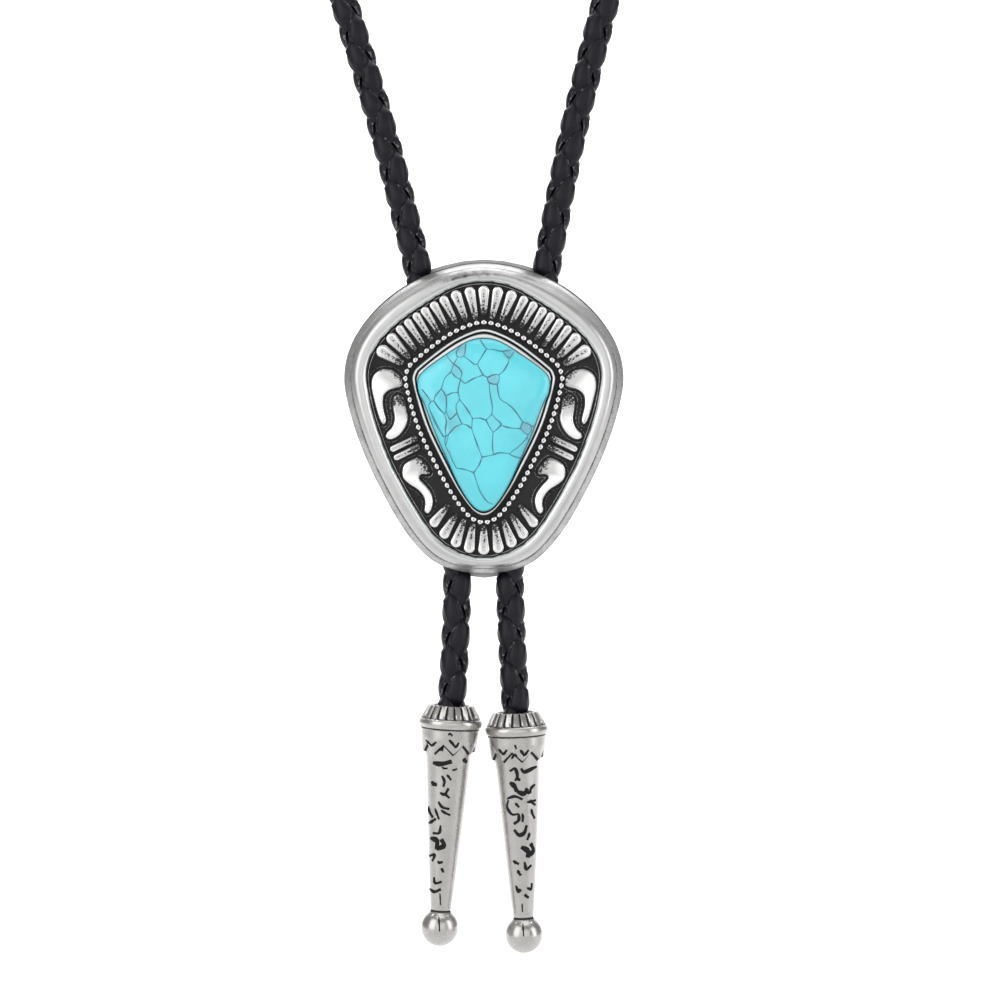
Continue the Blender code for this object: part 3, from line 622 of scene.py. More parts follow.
def lofted(name, rings, pole=False):
    """A closed piece: a circle primitive laid on the first ring and extruded through the others.

    A ring is (points, recess), with one recess for the ring or one for each point. The recess is kept as a
    point attribute that the metal's patina reads; on open faces it also holds painted shade, and below 0 a
    painted highlight. A pole closes the last ring to a point.
    """
    only(None)
    first = rings[0][0]
    bpy.ops.mesh.primitive_circle_add(vertices=len(first), radius=1.0, fill_type="NOTHING")
    piece = renamed(bpy.context.active_object, name)
    for vertex, point in zip(piece.data.vertices, first):
        vertex.co = point
    piece.data.attributes.new("recess", "FLOAT", "POINT")
    bpy.ops.object.mode_set(mode="EDIT")
    bpy.ops.mesh.select_all(action="SELECT")
    places = None
    for points, recess in rings:
        if places is not None:
            bpy.ops.mesh.extrude_edges_move(TRANSFORM_OT_translate={"value": (0.0, 0.0, 0.0)})
        mesh = bmesh.from_edit_mesh(piece.data)
        layer = mesh.verts.layers.float["recess"]
        if places is None:
            ring = list(mesh.verts)
        else:
            found = {tuple(vertex.co): vertex for vertex in mesh.verts if vertex.select}
            ring = [found[place] for place in places]
        depths = recess if isinstance(recess, list) else [recess] * len(ring)
        for vertex, point, depth in zip(ring, points, depths):
            vertex.co = point
            vertex[layer] = depth
        places = [tuple(vertex.co) for vertex in ring]
        bmesh.update_edit_mesh(piece.data)
    if pole:
        bpy.ops.mesh.merge(type="CENTER")
    close_mesh()
    return piece


def joined(name, parts):
    """Joins parts into one piece."""
    only(parts[0])
    for part in parts:
        part.select_set(True)
    bpy.ops.object.join()
    return renamed(bpy.context.active_object, name)


def shade_round(piece, degrees):
    only(piece)
    bpy.ops.object.shade_smooth_by_angle(angle=math.radians(degrees))


def finish_piece(piece, material, nodes=()):
    """Gives a piece its finish, lets it ride on the body and hides the CAD nodes it stands for."""
    piece.data.materials.clear()
    piece.data.materials.append(material)
    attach(piece, BODY)
    if nodes:
        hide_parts(*nodes)


def set_inputs(tree, node, inputs):
    """Sets a node's inputs. An input is a value, or a socket to link from."""
    for key, value in inputs.items():
        if isinstance(value, bpy.types.NodeSocket):
            tree.links.new(value, node.inputs[key])
        else:
            node.inputs[key].default_value = value


def add_node(tree, kind, inputs=None, **settings):
    made = tree.nodes.new(kind)
    for key, value in settings.items():
        setattr(made, key, value)
    set_inputs(tree, made, inputs or {})
    return made


def math_node(tree, operation, first, second, clamp=False):
    inputs = {0: first, 1: second}
    return add_node(tree, "ShaderNodeMath", inputs, operation=operation, use_clamp=clamp).outputs[0]


def blend_colours(tree, share, first, second):
    """A colour between two, by a share."""
    mixed = add_node(tree, "ShaderNodeMix", data_type="RGBA")
    targets = {item.identifier: item for item in mixed.inputs}
    for key, value in (("Factor_Float", share), ("A_Color", first), ("B_Color", second)):
        if isinstance(value, bpy.types.NodeSocket):
            tree.links.new(value, targets[key])
        else:
            targets[key].default_value = (*value, 1.0)
    return next(item for item in mixed.outputs if item.identifier == "Result_Color")


def tinted(colour, factor, lift=0.0):
    """A colour made darker or paler."""
    return tuple(min(channel * factor + lift, 1.0) for channel in colour)


def ranged(tree, value, span=(0.0, 1.0), result=(0.0, 1.0), smooth=False):
    """A value carried from the span to the result."""
    inputs = dict(zip(("Value", "From Min", "From Max", "To Min", "To Max"), (value, *span, *result)))
    kind = "SMOOTHSTEP" if smooth else "LINEAR"
    return add_node(tree, "ShaderNodeMapRange", inputs, interpolation_type=kind).outputs[0]


def object_place(tree):
    return add_node(tree, "ShaderNodeTexCoord").outputs["Object"]


def attribute(tree, name):
    return add_node(tree, "ShaderNodeAttribute", attribute_name=name).outputs["Fac"]


def noise(tree, vector, scale, detail=3.0, roughness=0.55):
    inputs = {"Vector": vector, "Scale": scale, "Detail": detail, "Roughness": roughness}
    return add_node(tree, "ShaderNodeTexNoise", inputs).outputs["Fac"]


def bumped(tree, height, strength, distance):
    inputs = {"Strength": strength, "Distance": distance, "Height": height}
    return add_node(tree, "ShaderNodeBump", inputs).outputs[0]


def patina_group():
    """Blackening that stays in the recesses of cast silver and is polished off its high spots.

    It reads the piece's recess: 1 is a black recess, 0 plain metal, and below 0 a spot painted brighter as a
    painted highlight; on open faces a high recess is painted shade.
    """
    tree = bpy.data.node_groups.new("patina_and_painted_light", "ShaderNodeTree")
    values = {"Speckle": 0.5, "Speckle Scale": 3200.0, "Drift": 0.2, "Softness": 0.16, "Satin": 0.24}
    for label, value in values.items():
        socket = tree.interface.new_socket(name=label, in_out="INPUT", socket_type="NodeSocketFloat")
        socket.default_value = value
    for label in ("Black", "Roughness", "Height", "Cloud", "Shine"):
        tree.interface.new_socket(name=label, in_out="OUTPUT", socket_type="NodeSocketFloat")
    given = tree.nodes.new("NodeGroupInput").outputs
    made = tree.nodes.new("NodeGroupOutput")
    place = object_place(tree)
    recess = attribute(tree, "recess")
    fine = noise(tree, place, given["Speckle Scale"], detail=2.0)
    cloud = noise(tree, place, PATINA_CLOUDS)
    drift = math_node(tree, "SUBTRACT", cloud, 0.5)
    speckle = math_node(tree, "MULTIPLY", math_node(tree, "SUBTRACT", fine, 0.5), given["Speckle"])
    onset = math_node(tree, "MULTIPLY", recess, PATINA_ONSET, clamp=True)
    weight = math_node(tree, "MULTIPLY", onset, speckle)
    depth = math_node(
        tree, "ADD", math_node(tree, "ADD", recess, weight), math_node(tree, "MULTIPLY", drift, given["Drift"])
    )
    edge = [math_node(tree, operation, 0.5, given["Softness"]) for operation in ("SUBTRACT", "ADD")]
    black = ranged(tree, depth, edge, smooth=True)
    satin = math_node(tree, "ADD", given["Satin"], math_node(tree, "MULTIPLY", drift, CLOUD_ROUGHNESS))
    set_inputs(tree, made, {
        "Black": black,
        "Roughness": math_node(tree, "ADD", satin, math_node(tree, "MULTIPLY", black, BLACK_ROUGHNESS)),
        "Height": math_node(tree, "MULTIPLY", fine, black),
        "Cloud": cloud,
        "Shine": math_node(tree, "MULTIPLY", recess, PAINTED_HIGHLIGHT_GAIN, clamp=True),
    })


def plain_material(name):
    material = bpy.data.materials.new(name)
    material.use_nodes = True
    return material, material.node_tree, material.node_tree.nodes["Principled BSDF"]


def antiqued_silver(name, silver, slide, **values):
    """Cast silver with blackened recesses and painted shade, and a painted highlight on its high spots; values
    set the patina group's inputs.
    """
    material, tree, shader = plain_material(name)
    group = add_node(tree, "ShaderNodeGroup", node_tree=bpy.data.node_groups["patina_and_painted_light"])
    set_inputs(tree, group, {label.title(): value for label, value in values.items()})
    patina = group.outputs
    plain = blend_colours(tree, patina["Cloud"], tinted(silver, 0.80), silver)
    # Painted highlight where the recess falls below 0
    highlighted = blend_colours(tree, patina["Shine"], plain, slide.painted_highlight)
    set_inputs(tree, shader, {
        "Base Color": blend_colours(tree, patina["Black"], highlighted, slide.patina),
        "Metallic": ranged(tree, patina["Black"], result=(1.0, 0.15)),
        "Roughness": patina["Roughness"],
        "Normal": bumped(tree, patina["Height"], strength=0.35, distance=0.00006),
    })
    return material


def leather_material(colour):
    """Dyed lace leather: satin black with a fine grain, greyer and nicked along its cut edges; the pale nicks are
    partly a painted highlight along the edges.
    """
    material, tree, shader = plain_material("black_leather")
    place = object_place(tree)
    grain = noise(tree, place, scale=5200.0, roughness=0.6)
    cloud = noise(tree, place, scale=520.0)
    nick = noise(tree, place, scale=1500.0, detail=2.0)
    edge = math_node(tree, "MULTIPLY", attribute(tree, "recess"), nick)
    worn = ranged(tree, edge, span=(0.42, 0.56), smooth=True)
    base = blend_colours(tree, math_node(tree, "MULTIPLY", cloud, 0.85), colour, tinted(colour, 2.4))
    height = math_node(tree, "ADD", grain, math_node(tree, "MULTIPLY", cloud, 1.5))
    set_inputs(tree, shader, {
        # Pale nicks on the cut edges: partly worn leather, partly a painted edge highlight
        "Base Color": blend_colours(tree, math_node(tree, "MULTIPLY", worn, 0.70), base, (0.20, 0.20, 0.21)),
        "Roughness": ranged(tree, grain, span=(0.3, 0.7), result=(0.26, 0.38)),
        "Normal": bumped(tree, height, strength=0.5, distance=0.00008),
        "Specular IOR Level": 0.26,
    })
    return material


def turquoise_material(stone):
    """Glossy turquoise whose greyer cells come from the piece's own tint attribute."""
    material, tree, shader = plain_material("turquoise_stone")
    place = object_place(tree)
    mottle = noise(tree, place, scale=1400.0)
    pale = tinted(stone.turquoise, 1.18, lift=0.015)
    body = blend_colours(tree, noise(tree, place, scale=190.0), tinted(stone.turquoise, 0.90), pale)
    milky = blend_colours(tree, math_node(tree, "MULTIPLY", mottle, 0.10), body, (0.45, 0.86, 0.90))
    set_inputs(tree, shader, {
        "Base Color": blend_colours(tree, attribute(tree, "tint"), milky, stone.grey),
        "Roughness": ranged(tree, mottle, result=(0.16, 0.24)),
        "Coat Weight": 0.5,
        "Coat Roughness": 0.08,
    })
    return material


def clouded_material(name, first, second, scale, **inputs):
    """A plain surface whose colour drifts between two; the other inputs of its shader are given by name."""
    material, tree, shader = plain_material(name)
    colour = blend_colours(tree, noise(tree, object_place(tree), scale), first, second)
    values = {label.replace("_", " "): value for label, value in inputs.items()}
    set_inputs(tree, shader, {"Base Color": colour, **values})
    return material, tree, shader


def clip_material():
    """Plain rolled plate, brushed up and down."""
    material, tree, shader = clouded_material(
        "clip_plate", (0.30, 0.30, 0.30), (0.46, 0.46, 0.455), scale=400.0, Metallic=1.0
    )
    stretched = add_node(tree, "ShaderNodeMapping", {"Vector": object_place(tree), "Scale": (1.0, 1.0, 0.05)})
    brush = noise(tree, stretched.outputs[0], scale=5000.0)
    set_inputs(tree, shader, {
        "Roughness": ranged(tree, brush, result=(0.24, 0.46)),
        "Normal": bumped(tree, brush, strength=0.2, distance=0.00005),
    })
    return material


def lace_section(settings, phase, repeat, start, way):
    """One section of a lace in the straight braid, which runs along +X from its axis."""
    swing = math.sin(2 * phase)
    rise = way * swing * math.sqrt((1 + LACE_PLATEAU ** 2) / (swing ** 2 + LACE_PLATEAU ** 2))
    reach = settings.core + settings.weave * rise
    turn = start + way * phase + LACE_SWAY / 2 * math.cos(2 * phase)
    climb = settings.core * (way - LACE_SWAY * swing) * math.pi / repeat
    slope = math.atan(climb)
    along = repeat * phase / math.pi
    points = []
    edges = []
    for side in range(LACE_SIDES):
        angle = 2 * math.pi * side / LACE_SIDES
        side_share = abs(math.cos(angle)) ** LACE_SQUARE
        across = math.copysign(side_share, math.cos(angle)) * settings.lace_width / 2
        out = math.sin(angle) * settings.lace_thickness / 2
        round_turn = turn + math.cos(slope) * across / settings.core
        distance = reach + out - settings.lace_crown * math.cos(angle) ** 2
        points.append(Vector((
            along - math.sin(slope) * across,
            distance * math.cos(round_turn),
            distance * math.sin(round_turn),
        )))
        edges.append(max(0.0, abs(math.cos(angle)) * LACE_CUT[0] - LACE_CUT[1]))
    return points, edges


def add_line(curve, places, closed=False):
    """Adds a straight-sided line to a curve and gives its points."""
    spline = curve.splines.new("POLY")
    spline.points.add(len(places) - 1)
    spline.use_cyclic_u = closed
    for knot, place in zip(spline.points, places):
        knot.co = (*place, 1.0)
    return spline.points


def new_tubes(name, radius):
    """A curve whose lines are thin round tubes."""
    curve = bpy.data.curves.new(name, "CURVE")
    curve.dimensions = "3D"
    curve.bevel_depth = radius
    curve.bevel_resolution = 1
    curve.use_fill_caps = True
    return curve


def tubes_piece(name, curve):
    """The piece that a curve of tubes makes."""
    made = bpy.data.objects.new(name, curve)
    bpy.context.scene.collection.objects.link(made)
    only(made)
    bpy.ops.object.convert(target="MESH")
    piece = renamed(bpy.context.active_object, name)
    shade_round(piece, 60.0)
    return piece


def braid_piece(name, settings, route, turns):
    """A braid of four laces along a route: one repeat is modelled straight, arrayed and bent along it."""
    path = smooth_path(route, ROUTE_STEPS)
    length = path_length(path)
    count = round(length / settings.repeat)
    repeat = length / count
    laces = []
    for start, way in LACE_TURNS:
        phases = [math.pi * step / LACE_STEPS for step in range(LACE_STEPS + 1)]
        rings = [lace_section(settings, phase, repeat, start, way) for phase in phases]
        laces.append(open_tube("lace", rings))
    braid = joined(name, laces)
    array = braid.modifiers.new("Repeats", "ARRAY")
    array.count = count
    array.use_relative_offset = False
    array.use_constant_offset = True
    array.constant_offset_displace = (repeat, 0.0, 0.0)
    array.use_merge_vertices = True
    array.merge_threshold = WELD
    guide = bpy.data.curves.new(name + "_guide", "CURVE")
    guide.dimensions = "3D"
    guide.twist_mode = "MINIMUM"
    guide.use_deform_bounds = False
    for number, knot in enumerate(add_line(guide, path)):
        share = clamped(2 * number / (len(path) - 1) - 0.5)
        knot.tilt = math.radians(turns[0] + (turns[1] - turns[0]) * share)
    line = bpy.data.objects.new(name + "_guide", guide)
    bpy.context.scene.collection.objects.link(line)
    bend = braid.modifiers.new("Along the route", "CURVE")
    bend.object = line
    bend.deform_axis = "POS_X"
    only(braid)
    bpy.ops.object.modifier_apply(modifier=array.name)
    bpy.ops.object.modifier_apply(modifier=bend.name)
    bpy.data.objects.remove(line)
    bpy.ops.object.mode_set(mode="EDIT")
    close_mesh()
    shade_round(braid, 60.0)
    return braid


def open_tube(name, rings):
    """A tube with open ends from rings of points, as lofted makes it."""
    piece = lofted(name, rings)
    only(piece)
    bpy.ops.object.mode_set(mode="EDIT")
    mesh = bmesh.from_edit_mesh(piece.data)
    for face in mesh.faces:
        face.select = len(face.verts) > 4
    bmesh.update_edit_mesh(piece.data)
    bpy.ops.mesh.delete(type="ONLY_FACE")
    bpy.ops.object.mode_set(mode="OBJECT")
    return piece


class BOLO_OT_cords(bpy.types.Operator):
    """Braid the neck cord and the two tails along their routes"""
    bl_idname = "bolo.cords"
    bl_label = "Cords"

    def execute(self, context):
        settings = context.scene.bolo_cord
        leather = leather_material(settings.colour)
        neck = braid_piece("braided_neck_cord", settings, NECK_ROUTE, CORD_TURNS["neck"])
        finish_piece(neck, leather, ["neck_cord"])
        for side, route in TAIL_ROUTES.items():
            tail = braid_piece("braided_tail_" + side, settings, route, CORD_TURNS[side])
            finish_piece(tail, leather, ["tail_cord_" + side])
        return {"FINISHED"}


class BOLO_OT_slide_body(bpy.types.Operator):
    """Cast the slide: domed rim, sunk field and grooved bezel"""
    bl_idname = "bolo.slide_body"
    bl_label = "Slide body"

    def execute(self, context):
        slide = context.scene.bolo_slide
        stone = context.scene.bolo_stone
        rim = outline(RIM_OUTLINE, slide.width, slide.height, OUTLINE_POINTS)
        field = outline(FIELD_OUTLINE, slide.width, slide.height, OUTLINE_POINTS)
        bezel = bezel_row(slide)
        seat = offset_outline(
            outline(STONE_OUTLINE, stone.width, stone.height, OUTLINE_POINTS, up=-stone.drop), BEZEL_FIT
        )
        widest = BEZEL_RIDGE[-1][0]
        reach = []
        for point in bezel:
            room = RIDGE_ROOM * min((point - other).length for other in seat)
            reach.append(min(room / widest, 1.0))
        inward = [point - start for point, start in zip(offset_outline(bezel, -1.0), bezel)]
        groove = [point + way * widest * share for point, way, share in zip(bezel, inward, reach)]

        def ring(outer, inner, share, depth, recess):
            points = [on_slide(start.lerp(end, share), depth) for start, end in zip(outer, inner)]
            return points, recess

        rings = []
        # The rim's rows paint shade on its outer flank and top, and a highlight along its inner band
        for share, depth, low, high in RIM_SECTION:
            points, _recess = ring(rim, field, share, depth * slide.depth, low)
            rings.append((points, [rim_painted_shading(point, share, low, high, slide.height / 2) for point in points]))
        rings.append(ring(rim, field, 1.0, slide.field_depth, 1.0))
        for distance, rise, recess in FIELD_RIDGE:
            rings.append(ring(offset_outline(field, -distance), field, 0.0, slide.field_depth + rise, recess))
        for distance, rise, recess in BEZEL_RIDGE:
            depth = slide.field_depth + rise * slide.bezel_rise
            rings.append(ring(bezel, groove, distance / widest, depth, recess))
        for share, rise, recess in BEZEL_LIP:
            rings.append(ring(groove, seat, share, slide.field_depth + rise * slide.bezel_rise, recess))
        rings.append(ring(groove, seat, 1.0, slide.field_depth, 1.0))
        body = lofted("slide_body", rings)
        shade_round(body, 40.0)
        metal = antiqued_silver("antiqued_silver", slide.silver, slide, speckle=0.22, satin=0.34)
        finish_piece(body, metal, ["slide"])
        return {"FINISHED"}


def rim_painted_shading(point, share, low, high, half_height):
    """Painted shading of a point of the rim: it changes with the height, darker at the top as painted shade, and
    the top centre keeps streaks of black patina.
    """
    rise = (point.z - SLIDE_CENTRE.z) / half_height
    recess = low + (high - low) * clamped((rise - RIM_CHANGE[0]) / (RIM_CHANGE[1] - RIM_CHANGE[0]))
    centre, half_width, start, added = RIM_SPECKLE
    away = (point.x - centre) / half_width
    if rise < 0.0 or share < start or share > RIM_INNER_EDGE or abs(away) > 1.0:
        return recess
    across, bend, along = STREAK_WAVES
    streak = math.sin(across * point.x + bend * math.sin(along * point.z))
    strength = STREAK_SHARES[0] + STREAK_SHARES[1] * streak
    return recess + (1.0 - away ** 2) * min((share - start) * STREAK_ONSET, 1.0) * added * strength


def bezel_row(slide, setback=0.0):
    row = outline(BEZEL_OUTLINE, slide.bezel_width, slide.bezel_height, OUTLINE_POINTS, up=-slide.bezel_drop)
    return offset_outline(row, setback)


def tapered_outline(start, start_half, end, end_half):
    """Outline of a straight stroke with round ends of their own half widths."""
    along = (end - start).normalized()
    across = Vector((-along.z, 0.0, along.x))
    points = []
    ends = ((end, end_half, along, across), (start, start_half, -along, -across))
    for centre, half_width, outward, side in ends:
        for number in range(PETAL_POINTS):
            angle = math.pi / 2 - math.pi * number / (PETAL_POINTS - 1)
            points.append(centre + (outward * math.cos(angle) + side * math.sin(angle)) * half_width)
    return points


def worn_recess(points, start, end, wear, recess):
    """Recess of each point of a motif, which deepens from wear[0] to wear[1] of the way from start to end."""
    if recess >= WORN_LIMIT:
        return [recess] * len(points)
    way = end - start
    shares = [(point - start).dot(way) / way.length_squared for point in points]
    fades = [clamped((share - wear[0]) / (wear[1] - wear[0])) for share in shares]
    return [recess + (WORN_LIMIT - recess) * fade for fade in fades]


def motif_place(slide, across, rise):
    """A point of the slide's own plane from shares of its half sizes."""
    return Vector((across * slide.width / 2, 0.0, rise * slide.height / 2))


def motif(slide, dome, edge_at, start, end, wear):
    """A raised motif: its dome lofted over the edge that belongs to each share, worn from start to end."""
    rings = []
    for share, rise, recess in dome:
        edge = edge_at(share)
        depth = slide.field_depth + rise * slide.relief_rise
        values = worn_recess(edge, start, end, wear, recess)
        rings.append(([on_slide(point, depth) for point in edge], values))
    return lofted("motif", rings)


def strokes(slide, table, taper, wear, swell):
    """Domed strokes of a table and their mirror images."""
    parts = []
    for outer_across, outer_up, inner_across, inner_up, half_width in table:
        for mirror in ((1.0,) if outer_across == 0.0 else (1.0, -1.0)):
            outer = motif_place(slide, mirror * outer_across, outer_up)
            inner = motif_place(slide, mirror * inner_across, inner_up)
            half = half_width * slide.width / 2 * swell

            def edge_at(share):
                return tapered_outline(outer, half * share, inner, half * taper * share)

            parts.append(motif(slide, PETAL_DOME, edge_at, outer, inner, wear))
    return parts


def scrolls(slide):
    """Each scroll and its mirror image: (side, outline, bright end, dark end)."""
    for table, *ends in SCROLLS.values():
        for mirror in (1.0, -1.0):
            knots, spots = (
                [motif_place(slide, mirror * across, rise) for across, rise in places]
                for places in (table, ends)
            )
            edge = smooth_path(knots, SCROLL_STEPS, closed=True)
            yield mirror, evenly_spaced(edge, SCROLL_POINTS, closed=True), *spots


def scroll_parts(slide):
    """The scrolls, each domed over its outline."""
    parts = []
    for side, edge, bright, dark in scrolls(slide):

        def edge_at(share):
            return offset_outline(edge, side * share * SCROLL_WIDTH / 2)

        parts.append(motif(slide, SCROLL_DOME, edge_at, bright, dark, SCROLL_WEAR))
    return parts


def scroll_ridges(slide):
    """Thin raised lines round the scrolls."""
    curve = new_tubes("scroll_ridges", RIDGE_WIDTH / 2)
    for side, edge, _bright, _dark in scrolls(slide):
        line = offset_outline(edge, -side * RIDGE_SETBACK)
        add_line(curve, [on_slide(point, slide.field_depth) for point in line], closed=True)
    piece = tubes_piece("scroll_ridges", curve)
    layer = piece.data.attributes.new("recess", "FLOAT", "POINT")
    layer.data.foreach_set("value", [RIDGE_RECESS] * len(piece.data.vertices))
    return piece


class BOLO_OT_relief(bpy.types.Operator):
    """Raise the petals, bars and scrolls in the slide's field"""
    bl_idname = "bolo.relief"
    bl_label = "Petals, bars and scrolls"

    def execute(self, context):
        slide = context.scene.bolo_slide
        metal = antiqued_silver("speckled_silver", slide.silver, slide, speckle=1.5, drift=0.30, satin=0.22)
        groups = {
            "slide_petals": strokes(slide, TOP_PETALS + BOTTOM_PETALS, PETAL_TAPER, PETAL_WEAR, PETAL_SWELL),
            "slide_bars": strokes(slide, BARS, 1.0, BAR_WEAR, BAR_SWELL),
            "slide_scrolls": scroll_parts(slide),
        }
        for name, parts in groups.items():
            piece = joined(name, parts)
            shade_round(piece, 50.0)
            finish_piece(piece, metal)
        finish_piece(scroll_ridges(slide), metal)
        return {"FINISHED"}


class BOLO_OT_beads(bpy.types.Operator):
    """Set the row of beads round the bezel"""
    bl_idname = "bolo.beads"
    bl_label = "Beads"

    def execute(self, context):
        slide = context.scene.bolo_slide
        row = bezel_row(slide, slide.bead_setback)
        count = round(path_length([*row, row[0]]) / slide.bead_pitch)
        radius = slide.bead_diameter / 2
        only(None)
        segments, rings = BEAD_FACES
        bpy.ops.mesh.primitive_uv_sphere_add(segments=segments, ring_count=rings, radius=radius)
        bead = renamed(bpy.context.active_object, "bead")
        bead.data.transform(Matrix.Rotation(math.radians(90.0), 4, "X"))
        layer = bead.data.attributes.new("recess", "FLOAT", "POINT")
        for vertex in bead.data.vertices:
            height = -vertex.co.y / radius
            # Black at the foot, painted highlight on the crown
            recess = min(max(BEAD_FOOT - height * BEAD_FADE, BEAD_PAINTED_HIGHLIGHT), 1.0)
            if height > BEAD_TOP:
                recess = BEAD_DIMPLE_RECESS
                vertex.co.y += radius * BEAD_DIMPLE
            layer.data[vertex.index].value = recess
        beads = []
        for centre in evenly_spaced(row, count, closed=True):
            copy = bead.copy()
            copy.data = bead.data.copy()
            copy.data.transform(Matrix.Translation(on_slide(centre, slide.field_depth + radius * BEAD_SEAT)))
            context.scene.collection.objects.link(copy)
            beads.append(copy)
        bpy.data.objects.remove(bead)
        piece = joined("slide_beads", beads)
        shade_round(piece, 60.0)
        metal = antiqued_silver("beaded_silver", slide.silver, slide, speckle=0.3, satin=0.18)
        finish_piece(piece, metal)
        return {"FINISHED"}


def chart_point(x, y):
    """A point of the stone's chart in the slide's own plane."""
    return Vector(((x - CHART_CENTRE[0]) * CHART_UNIT, 0.0, (CHART_CENTRE[1] - y) * CHART_UNIT))


def on_surface(carrier, point, way, sink):
    """Where a line through a point along a way meets a piece, sunk below its surface, or None."""
    hit, place, normal, _face = carrier.ray_cast(point - way * PROBE_REACH, way)
    return place - normal * sink if hit else None


def inlay(name, lines, carrier, sink, taper, eye=None):
    """Thin rounded threads let into a surface, so that only their crowns show.

    Each line is (width, points), and its points are carried onto the surface straight back, or away from an
    eye. The taper is 0 for an even line and 1 for one that runs to fine points.
    """
    bpy.context.view_layer.update()
    curve = new_tubes(name, TUBE_RADIUS)
    for width, line in lines:
        places = []
        for point in smooth_path(line, LINE_STEPS):
            way = (point - eye).normalized() if eye else -FRONT
            places.append(on_surface(carrier, point, way, sink * width / 2))
        places = [place for place in places if place]
        if len(places) < 3:
            raise RuntimeError(name + " has a line off its surface")
        for number, knot in enumerate(add_line(curve, places)):
            share = number / (len(places) - 1)
            mean, change, waves = LINE_SWELL
            even = mean + change * math.sin(waves * share + len(places))
            pointed = max(math.sin(math.pi * share) ** LINE_POWER, LINE_END)
            knot.radius = width / (2 * TUBE_RADIUS) * ((1.0 - taper) * even + taper * pointed)
    return tubes_piece(name, curve)


class BOLO_OT_stone(bpy.types.Operator):
    """Set the domed turquoise with its dark veins"""
    bl_idname = "bolo.stone"
    bl_label = "Stone"

    def execute(self, context):
        slide = context.scene.bolo_slide
        stone = context.scene.bolo_stone
        edge = outline(STONE_OUTLINE, stone.width, stone.height, OUTLINE_POINTS, up=-stone.drop)
        centre = Vector((0.0, 0.0, -stone.drop))
        rings = [([on_slide(point, slide.field_depth + stone.fit_gap) for point in edge], 0.0)]
        for spot in smooth_path([(share, rise, 0.0) for share, rise in STONE_SECTION], STONE_STEPS):
            share, rise = spot.x, spot.y
            depth = slide.field_depth + slide.bezel_rise + rise * stone.crown
            ring = [on_slide(centre + rounded_spoke(stone, point - centre, share), depth) for point in edge]
            rings.append((ring, 0.0))
        dome = lofted("turquoise", rings)
        tint = dome.data.attributes.new("tint", "FLOAT", "POINT")
        for vertex in dome.data.vertices:
            grey = 0.0
            for x, y, half, share in GREY_CELLS:
                place = on_slide(chart_point(x, y), 0.0)
                away = math.hypot(vertex.co.x - place.x, vertex.co.z - place.z) / (half * CHART_UNIT)
                grey = max(grey, share * clamped((PATCH_END - away) / PATCH_EDGE))
            tint.data[vertex.index].value = grey
        shade_round(dome, 50.0)
        finish_piece(dome, turquoise_material(stone), ["stone"])
        lines = [(stone.vein_width, [on_slide(chart_point(x, y), 0.0) for x, y in line]) for line in VEINS]
        veins = inlay("stone_veins", lines, dome, sink=0.50, taper=0.0)
        matrix, _tree, _shader = clouded_material(
            "stone_matrix", stone.vein, tinted(stone.vein, 2.2), scale=700.0, Roughness=0.40
        )
        finish_piece(veins, matrix)
        return {"FINISHED"}


def rounded_spoke(stone, spoke, share):
    """A share of a spoke from the stone's centre, eased towards an oval near the top of the dome."""
    direction = spoke.normalized()
    oval = Vector((direction.x * stone.width / 2, 0.0, direction.z * stone.height / 2)) * OVAL_SHARE
    return spoke.lerp(oval, 1.0 - share) * share


class BOLO_OT_clip(bpy.types.Operator):
    """Give the plain clip behind the cords its brushed plate finish"""
    bl_idname = "bolo.clip"
    bl_label = "Back clip"

    def execute(self, context):
        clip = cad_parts["back_clip"]
        clip.data.materials.clear()
        clip.data.materials.append(clip_material())
        return {"FINISHED"}


def tip_ring(tip, share, reach, fluted=0.0, recess=0.0, wave=0.0):
    """One ring of a tip in its own frame: its grooves, the zigzag of its edge and the recess of each point."""
    points = []
    values = []
    radius = reach * tip.ring_diameter / 2
    for index in range(TIP_SPOKES):
        turn = 2 * math.pi * index / TIP_SPOKES
        beat = (index / TIP_SPOKES * tip.flutes) % 1.0
        groove = clamped((FLUTE_HALF - abs(beat - 0.5)) / FLUTE_EDGE) * fluted
        tooth = 4 * abs((index / TIP_SPOKES * ZIGZAG_TEETH - ZIGZAG_TURN) % 1.0 - 0.5) - 1
        distance = radius - groove * tip.flute_depth
        drop = -share * tip.length - wave * tooth * ZIGZAG_DEPTH / 2
        points.append(Vector((distance * math.cos(turn), distance * math.sin(turn), drop)))
        values.append(max(recess, groove))
    return points, values


def tip_body(tip, name):
    """A turned tip in its own frame, from the bottom of its socket to the end of its ball."""
    socket = tip.socket / tip.ring_diameter
    rings = [tip_ring(tip, tip.grip / tip.length, socket, recess=1.0), tip_ring(tip, 0.0, socket, recess=0.8)]
    rings += [tip_ring(tip, share, reach, fluted, recess) for share, reach, fluted, recess in TIP_PROFILE]
    rings += [tip_ring(tip, share, reach, recess=recess, wave=1.0) for share, reach, recess in TIP_SHELF]
    rings += [tip_ring(tip, share, reach, recess=recess) for share, reach, recess in TIP_CONE]
    ball = tip.ball_diameter / tip.ring_diameter
    ball_share = tip.ball_diameter / 2 / tip.length
    neck = math.asin(min(TIP_CONE[-1][1] / ball, 1.0))
    for number in range(BALL_RINGS):
        angle = neck + (math.pi - neck) * (number + 0.5) / BALL_RINGS
        recess = 0.35 if number == 0 else 0.0
        share = 1.0 - ball_share * (1 + math.cos(angle))
        rings.append(tip_ring(tip, share, ball * math.sin(angle), recess=recess))
    return lofted(name, rings, pole=True)


